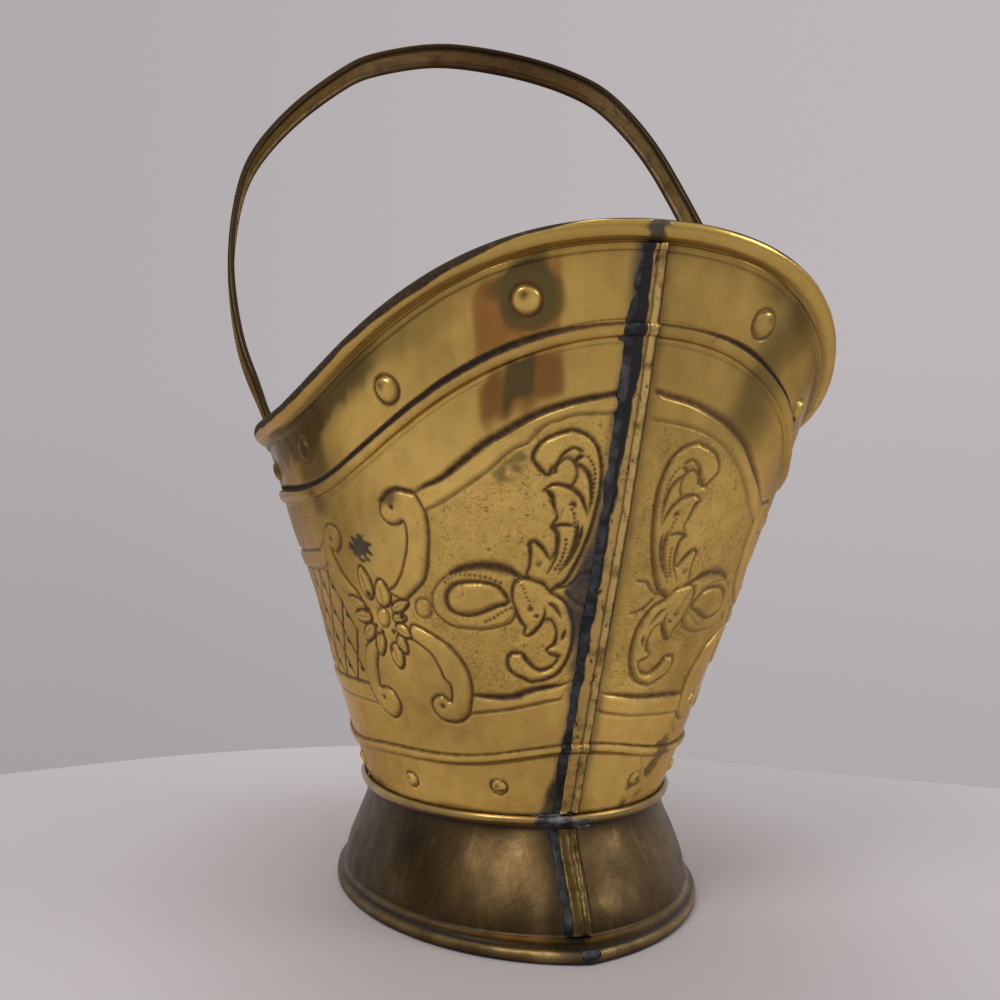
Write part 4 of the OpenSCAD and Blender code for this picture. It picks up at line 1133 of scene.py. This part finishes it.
BRIGHT = (0.82, 0.56, 0.155, 1)
FIELD = (0.655, 0.435, 0.112, 1)
DEEP = (0.44, 0.275, 0.078, 1)
BROWN = (0.135, 0.074, 0.026, 1)
# Near black, for specks of dirt and for painted shade
BLACK_DIRT_AND_SHADE = (0.030, 0.028, 0.026, 1)
LEAD = (0.092, 0.094, 0.100, 1)


def body_brass():
    m = Mat("stamped_brass")
    dark, ground, lead, inner = (m.attr(k) for k in ("dark", "ground", "lead", "inner"))
    mid, fine = m.noise(55, 5, 0.6), m.noise(420, 4, 0.6)
    c = m.mix(m.span(m.noise(9, 3), 0.3, 0.7), FIELD, BRIGHT)
    c = m.mix(m.span(mid, 0.48, 0.78, 0, 0.5), c, DEEP)
    # The ground between the forms is matted: bright grains and brown marks
    c = m.mix(m.times(ground, m.span(m.noise(240, 3, 0.6), 0.5, 0.7, 0.0, 0.5)), c, BRIGHT)
    marks = m.times(m.span(m.noise(520, 4, 0.8, distortion=1.5), 0.52, 0.62),
                    m.span(m.noise(75, 3), 0.38, 0.60, 0.35, 1.0))
    c = m.mix(m.times(ground, m.times(marks, 0.75)), c, BROWN)
    c = m.mix(m.times(m.attr("crest"), 0.5), c, BRIGHT)
    # Painted reflections: reddish patches, then dark patches of painted shade and reflection with some dark marks
    c = m.mix(m.times(m.attr("stain"), 0.9), c, (0.36, 0.15, 0.04, 1))
    c = m.mix(m.times(m.attr("smoke"), 0.92), c, (0.155, 0.115, 0.042, 1))
    c = m.mix(m.times(inner, m.span(mid, 0.3, 0.7, 0.35, 0.75)), c, (0.22, 0.15, 0.06, 1))
    specks = m.times(m.span(m.voronoi(210), 0.02, 0.11, 1.0, 0.0), m.span(m.noise(26, 2), 0.52, 0.66))
    c = m.mix(m.times(specks, 0.7), c, BROWN)
    # Painted light and shade, with a random mottling
    c = m.scaled(c, m.attr("tone"))
    # Tarnish in the grooves and dots, and painted shade and reflection on the beads, the rim, the studs and inside
    # the edges of forms
    tarnish_and_shade = m.times(dark, m.span(fine, 0.25, 0.6, 0.75, 1.05))
    c = m.mix(m.span(tarnish_and_shade, 0.12, 0.75), c, BROWN)
    c = m.mix(m.span(tarnish_and_shade, 0.78, 1.05, 0.0, 0.85), c, BLACK_DIRT_AND_SHADE)
    c = m.mix(m.times(lead, m.span(mid, 0.3, 0.6, 0.75, 1.0)), c, m.mix(fine, LEAD, (0.045, 0.04, 0.038, 1)))
    rough = m.span(mid, 0.3, 0.75, 0.20, 0.34)
    for worn, amount in ((dark, 0.28), (ground, 0.08), (lead, 0.14), (inner, 0.14)):
        rough = m.math("ADD", rough, m.times(worn, amount))
    metal = m.math("SUBTRACT", 1.0, m.times(dark, 0.9))
    m.put(m.b.inputs["Specular IOR Level"], m.math("SUBTRACT", 0.5, m.times(dark, 0.45)))
    scratches = m.math("ADD", m.noise(900, 2, 0.5, (1.0, 1.0, 0.06)), m.noise(700, 2, 0.5, (0.08, 0.08, 1.0)))
    grains = m.times(m.noise(520, 3, 0.6), m.math("ADD", ground, 0.10))
    normal = m.bumps((m.noise(70, 4, 0.55), 0.16, 0.0012), (scratches, 0.05, 0.0003), (grains, 0.6, 0.0008),
                     (m.times(fine, lead), 0.5, 0.0008))
    return m.done(c, rough, metal, normal, (0.86, 0.70, 0.56, 1))


def plain_brass(name, light, deep, rough, painted_edge_shade):
    m = Mat(name)
    mid, fine = m.noise(70, 5, 0.62), m.noise(480, 4, 0.6)
    c = m.mix(m.span(m.noise(14, 3), 0.3, 0.7), light, deep)
    c = m.mix(m.span(mid, 0.45, 0.8, 0, 0.6), c, tuple(0.55 * v for v in deep[:3]) + (1,))
    if painted_edge_shade:
        # Painted shade along the edges, where the part meets the wall
        c = m.mix(m.times(m.attr("dark"), 0.9), c, BLACK_DIRT_AND_SHADE)
    normal = m.bumps((mid, 0.12, 0.0010), (fine, 0.10, 0.0003))
    return m.done(c, m.span(mid, 0.3, 0.75, rough, rough + 0.16), 1.0, normal)


def foot_brass():
    m = Mat("dull_foot_brass")
    big, mid, fine = m.noise(16, 4, 0.6), m.noise(75, 6, 0.66), m.noise(520, 4, 0.65)
    runs = m.noise(120, 4, 0.6, (1.0, 1.0, 0.18))
    c = m.mix(m.span(big, 0.3, 0.72), (0.105, 0.066, 0.026, 1), (0.060, 0.038, 0.018, 1))
    c = m.mix(m.span(mid, 0.50, 0.80, 0, 0.7), c, (0.036, 0.025, 0.015, 1))
    c = m.mix(m.span(runs, 0.55, 0.8, 0, 0.5), c, (0.22, 0.145, 0.050, 1))
    c = m.mix(m.times(m.span(m.voronoi(330), 0.0, 0.12, 1.0, 0.0), m.span(big, 0.5, 0.7)), c, BLACK_DIRT_AND_SHADE)
    # Painted highlight on the rolled edge and the cove
    c = m.mix(m.times(m.attr("edge"), m.span(mid, 0.3, 0.65, 0.85, 0.2)), c, (0.36, 0.25, 0.10, 1))
    # Painted light and shade, with a random mottling
    c = m.scaled(c, m.attr("tone"))
    # Painted shade in the groove, the crease, at the floor and under the body
    c = m.mix(m.times(m.attr("dark"), 0.92), c, BLACK_DIRT_AND_SHADE)
    c = m.mix(m.times(m.attr("lead"), 0.85), c, m.mix(fine, (0.060, 0.063, 0.070, 1), (0.028, 0.026, 0.024, 1)))
    return m.done(c, m.span(mid, 0.3, 0.75, 0.34, 0.52), 1.0, m.bumps((mid, 0.22, 0.0012), (fine, 0.22, 0.0004)))


def solder_metal(name, shade):
    m = Mat(name)
    mid, fine = m.noise(190, 5, 0.65), m.noise(900, 4, 0.6)
    c = m.mix(m.span(mid, 0.40, 0.68), (0.030, 0.031, 0.034, 1), (0.125, 0.128, 0.136, 1))
    c = m.mix(m.span(m.noise(60, 4), 0.45, 0.68, 0, 0.75), c, (0.026, 0.024, 0.023, 1))
    c = m.scaled(c, shade)
    return m.done(c, m.span(mid, 0.3, 0.7, 0.36, 0.58), 0.9, m.bumps((mid, 0.4, 0.0010), (fine, 0.3, 0.0004)))


def seam_metal(name, shade):
    m = Mat(name)
    mid, fine = m.noise(120, 5, 0.66), m.noise(620, 4, 0.6)
    ridge = m.mix(m.span(mid, 0.46, 0.66), (0.72, 0.50, 0.17, 1), (0.28, 0.175, 0.06, 1))
    low = m.mix(m.span(mid, 0.50, 0.72), (0.62, 0.42, 0.135, 1), (0.26, 0.165, 0.06, 1))
    low = m.mix(m.span(m.attr("soot"), 0.2, 0.8), low, (0.040, 0.038, 0.040, 1))
    c = m.scaled(m.mix(m.attr("flat"), ridge, low), shade)
    c = m.mix(m.span(m.noise(300, 4, 0.7), 0.60, 0.74, 0, 0.8), c, BLACK_DIRT_AND_SHADE)
    c = m.mix(m.span(m.noise(420, 3, 0.6, (1.0, 1.0, 0.22)), 0.60, 0.66, 0, 0.85), c, (0.050, 0.034, 0.022, 1))
    # Painted shadow in the dip and beside the raised edge
    c = m.mix(m.attr("gap"), c, (0.040, 0.026, 0.016, 1))
    return m.done(c, m.span(mid, 0.3, 0.7, 0.26, 0.46), 1.0, m.bumps((mid, 0.3, 0.0010), (fine, 0.25, 0.0004)))


def bail_metal():
    m = Mat("bail_bronze")
    mid, fine = m.noise(110, 6, 0.68), m.noise(620, 4, 0.65)
    c = m.mix(m.span(m.noise(20, 4, 0.6), 0.3, 0.7), (0.36, 0.245, 0.110, 1), (0.225, 0.150, 0.070, 1))
    c = m.mix(m.span(mid, 0.48, 0.74, 0, 0.75), c, (0.080, 0.056, 0.036, 1))
    c = m.mix(m.span(m.noise(260, 5, 0.7), 0.60, 0.75, 0, 0.6), c, (0.50, 0.38, 0.20, 1))
    # Painted shade towards the folded edges
    c = m.mix(m.times(m.attr("dark"), 0.95), c, (0.034, 0.024, 0.016, 1))
    normal = m.bumps((mid, 0.25, 0.0010), (fine, 0.25, 0.0004))
    return m.done(c, m.span(mid, 0.3, 0.75, 0.34, 0.54), 1.0, normal, (0.50, 0.38, 0.25, 1))


def iron_metal():
    m = Mat("old_iron")
    mid, fine = m.noise(160, 5, 0.65), m.noise(900, 4, 0.65)
    c = m.mix(m.span(mid, 0.35, 0.7), (0.075, 0.066, 0.060, 1), (0.030, 0.026, 0.024, 1))
    c = m.mix(m.span(m.noise(70, 4), 0.56, 0.72, 0, 0.8), c, (0.100, 0.045, 0.020, 1))
    return m.done(c, m.span(mid, 0.3, 0.7, 0.45, 0.7), 0.85, m.bumps((mid, 0.3, 0.0008), (fine, 0.3, 0.0003)))


def give(o, material):
    o.data.materials.clear()
    o.data.materials.append(material)


brass, iron = body_brass(), iron_metal()
solder, foot_solder = solder_metal("old_solder", 1.0), solder_metal("foot_solder", 0.5)
collar_solder = solder_metal("collar_solder", 2.6)
seam, foot_seam = seam_metal("folded_seam_brass", 1.0), seam_metal("foot_seam_brass", 0.17)
inside_brass = plain_brass("inside_brass", (0.34, 0.23, 0.095, 1), (0.20, 0.135, 0.055, 1), 0.34, False)
collar_brass = plain_brass("collar_brass", (0.60, 0.42, 0.14, 1), (0.34, 0.23, 0.085, 1), 0.24, True)
foot_metal, bail_bronze = foot_brass(), bail_metal()
for o in (left, right):
    give(o, brass)
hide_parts("body_left")
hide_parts("body_right")
for o in seam_pieces:
    give(o, foot_seam if o.name.startswith("foot") else seam)
for o in solder_pieces:
    give(o, {"foot": foot_solder, "collar": collar_solder}.get(o.name.split("_")[0], solder))
give(ring, collar_brass)
for o in (foot_l, foot_r):
    give(o, foot_metal)
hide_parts("foot_left")
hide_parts("foot_right")
give(bail_piece, bail_bronze)
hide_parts("handle")
for name in ("rim_wire", "foot_hoop", "left_pivot", "right_pivot"):
    give(nodes[name], iron)
for name in ("bottom_plate", "left_ear", "right_ear", "left_washer", "right_washer"):
    give(nodes[name], inside_brass)
for o in (left, right, *seam_pieces, *solder_pieces, ring, foot_l, foot_r):
    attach(o, "scuttle")
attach(bail_piece, "handle")

# ---- Camera: focal length in pixels of a 1000-pixel frame, place in millimetres, angles in radians ----
F_PX, FRAME_PX = 1064.04, 1000
AROUND, DIST, CAM_H, PITCH, YAW, ROLL = 0.25641, 567.03, 178.90, 0.02779, -0.01001, 0.0002
eye = np.array([-DIST * math.sin(AROUND), -DIST * math.cos(AROUND), CAM_H])
heading = AROUND + YAW
ahead = np.array([math.sin(heading) * math.cos(PITCH), math.cos(heading) * math.cos(PITCH), math.sin(PITCH)])
level = np.array([math.cos(heading), -math.sin(heading), 0])
over = np.cross(level, ahead)
across, up = (math.cos(ROLL) * level + math.sin(ROLL) * over, -math.sin(ROLL) * level + math.cos(ROLL) * over)
cam_data = bpy.data.cameras.new("camera")
cam_data.sensor_width = 36
cam_data.lens = F_PX / FRAME_PX * 36
cam_data.clip_start, cam_data.clip_end = 0.01, 50
cam = bpy.data.objects.new("camera", cam_data)
bpy.context.scene.collection.objects.link(cam)
cam.matrix_world = Matrix([(*row, 0) for row in (across, up, -ahead)] + [(*(eye * 0.001), 1)]).transposed()
bpy.context.scene.camera = cam


# ---- Floor, walls and light, in metres ----
# The left run of the wall is painted in shade, darker than the right
FLOOR_COLOUR, WALL_LEFT, WALL_RIGHT = lin(186, 181, 184), lin(166, 161, 164), lin(196, 190, 191)
FLOOR_Z, FLOOR_HALF = -0.0003, 6
# Radius of the wall's corner, and the distances of its two runs and its heights
CORNER_R, RUNS, WALL_HEIGHTS = 0.45, (4.5, 2.2), (-0.0003, 1.5, 4.0)


def floor_seen_at(px, py):
    """The place on the floor that the camera sees at a pixel."""
    d = ahead * F_PX + across * (px - FRAME_PX / 2) + up * (FRAME_PX / 2 - py)
    return (eye - d * (eye[2] / d[2])) * 0.001


def direction(a, b):
    return (b - a) / np.linalg.norm(b - a)


def wall_foot():
    """The foot of the wall from left to right, with its rounded corner, and how far right each point is."""
    far_left, near_left, near_right, far_right = (
        floor_seen_at(*pixel) for pixel in ((37, 770), (230, 748), (680, 758), (963, 785)))
    to_left, to_right = direction(near_left, far_left), direction(near_right, far_right)
    along = np.linalg.solve(np.stack([to_left[:2], -to_right[:2]], 1), (near_right - far_left)[:2])[0]
    corner = far_left + to_left * along
    half_bend = math.acos(np.clip(to_left[:2] @ to_right[:2], -1, 1)) / 2
    centre = corner + direction(0, to_left + to_right) * CORNER_R / math.sin(half_bend)
    start, stop = (math.atan2(*(corner + d * CORNER_R / math.tan(half_bend) - centre)[1::-1])
                   for d in (to_left, to_right))
    turn = (stop - start + math.pi) % (2 * math.pi) - math.pi
    foot = [corner + to_left * run for run in RUNS]
    foot += [centre + CORNER_R * np.array([math.cos(start + turn * f), math.sin(start + turn * f), 0])
             for f in np.linspace(0, 1, 25)]
    foot += [corner + to_right * run for run in RUNS[::-1]]
    return foot, [np.clip(((p - corner) @ (to_right - to_left) + 1.2) / 2.4, 0, 1) for p in foot]


def floor():
    mesh = bpy.data.meshes.new("floor")
    corners = [(x * FLOOR_HALF, y * FLOOR_HALF, FLOOR_Z) for x, y in ((-1, -1), (1, -1), (1, 1), (-1, 1))]
    mesh.from_pydata(corners, [], [(0, 1, 2, 3)])
    o = bpy.data.objects.new("floor", mesh)
    bpy.context.scene.collection.objects.link(o)
    m = Mat("floor_paint")
    shadier = tuple(v * 0.95 for v in FLOOR_COLOUR[:3]) + (1,)
    m.put(m.b.inputs["Base Color"], m.mix(m.span(m.noise(1.6, 2, 0.4), 0.3, 0.7), FLOOR_COLOUR, shadier))
    m.b.inputs["Roughness"].default_value = 0.9
    m.b.inputs["Specular IOR Level"].default_value = 0.1
    mesh.materials.append(m.m)


def wall():
    """A wall that glows, seen from its front alone, and leaves the light of the room as it is; its glow is painted
    with shade, darker on its left run than its right and darker towards the floor on the left.
    """
    foot, share = wall_foot()
    points = np.array([[p[0], p[1], z] for p in foot for z in WALL_HEIGHTS]) * 1000
    faces = grid_faces(len(foot), len(WALL_HEIGHTS))
    q = points[faces[0]]
    if np.cross(q[1] - q[0], q[2] - q[0]) @ (eye - q[0]) < 0:
        faces = faces[:, ::-1]
    o = new_object("wall", points, faces, {"side": np.repeat(share, len(WALL_HEIGHTS))})
    m = Mat("wall_paint")
    height = m.node("ShaderNodeSeparateXYZ", {0: m.coord}, out=2)
    # Painted shade: darker towards the floor on the left run
    shade = m.math("MAXIMUM", m.span(height, 0.0, 0.30, 0.86, 1.0), m.attr("side"))
    glow = m.node("ShaderNodeEmission", {"Color": m.scaled(m.mix(m.attr("side"), WALL_LEFT, WALL_RIGHT), shade)})
    from_behind = m.node("ShaderNodeNewGeometry", out=6)
    seen = m.node("ShaderNodeMixShader", {0: from_behind, 1: glow, 2: m.node("ShaderNodeBsdfTransparent")})
    surface = next(n for n in m.t.nodes if n.type == "OUTPUT_MATERIAL")
    m.put(surface.inputs["Surface"], seen)
    o.data.materials.append(m.m)
    o.visible_diffuse = o.visible_glossy = o.visible_transmission = o.visible_shadow = False


floor()
wall()

world = bpy.data.worlds.new("room")
bpy.context.scene.world = world
world.use_nodes = True
room = Tree(world.node_tree)
height = room.node("ShaderNodeSeparateXYZ", {0: room.node("ShaderNodeTexCoord")}, out=2)
light = room.mix(room.span(height, -0.2, 1.0), (0.46, 0.45, 0.46, 1), (0.66, 0.64, 0.64, 1))
background = next(n for n in world.node_tree.nodes if n.type == "BACKGROUND")
room.put(background.inputs["Color"], room.mix(room.node("ShaderNodeLightPath"), light, lin(180, 175, 177)))
background.inputs["Strength"].default_value = 1.0


def lamp(name, place, aim, size, power, colour=(1, 1, 1)):
    d = bpy.data.lights.new(name, "AREA")
    d.shape = "DISK"
    d.size = size
    d.energy = power
    d.color = colour
    o = bpy.data.objects.new(name, d)
    bpy.context.scene.collection.objects.link(o)
    o.location = place
    o.rotation_mode = "QUATERNION"
    o.rotation_quaternion = (Vector(aim) - Vector(place)).to_track_quat("-Z", "Y")


lamp("key", (-1.3, -1.1, 1.5), (0, 0, 0.15), 0.9, 17.0, (1.0, 0.98, 0.95))
lamp("fill", (1.6, -0.9, 1.1), (0, 0, 0.2), 1.0, 9.5, (0.98, 0.99, 1.0))
lamp("back", (0.4, 1.7, 1.3), (0, 0, 0.2), 1.2, 7.0)
lamp("top", (0, 0.1, 2.0), (0, 0, 0.2), 1.0, 7.0)

bpy.context.scene.view_settings.view_transform = "Standard"
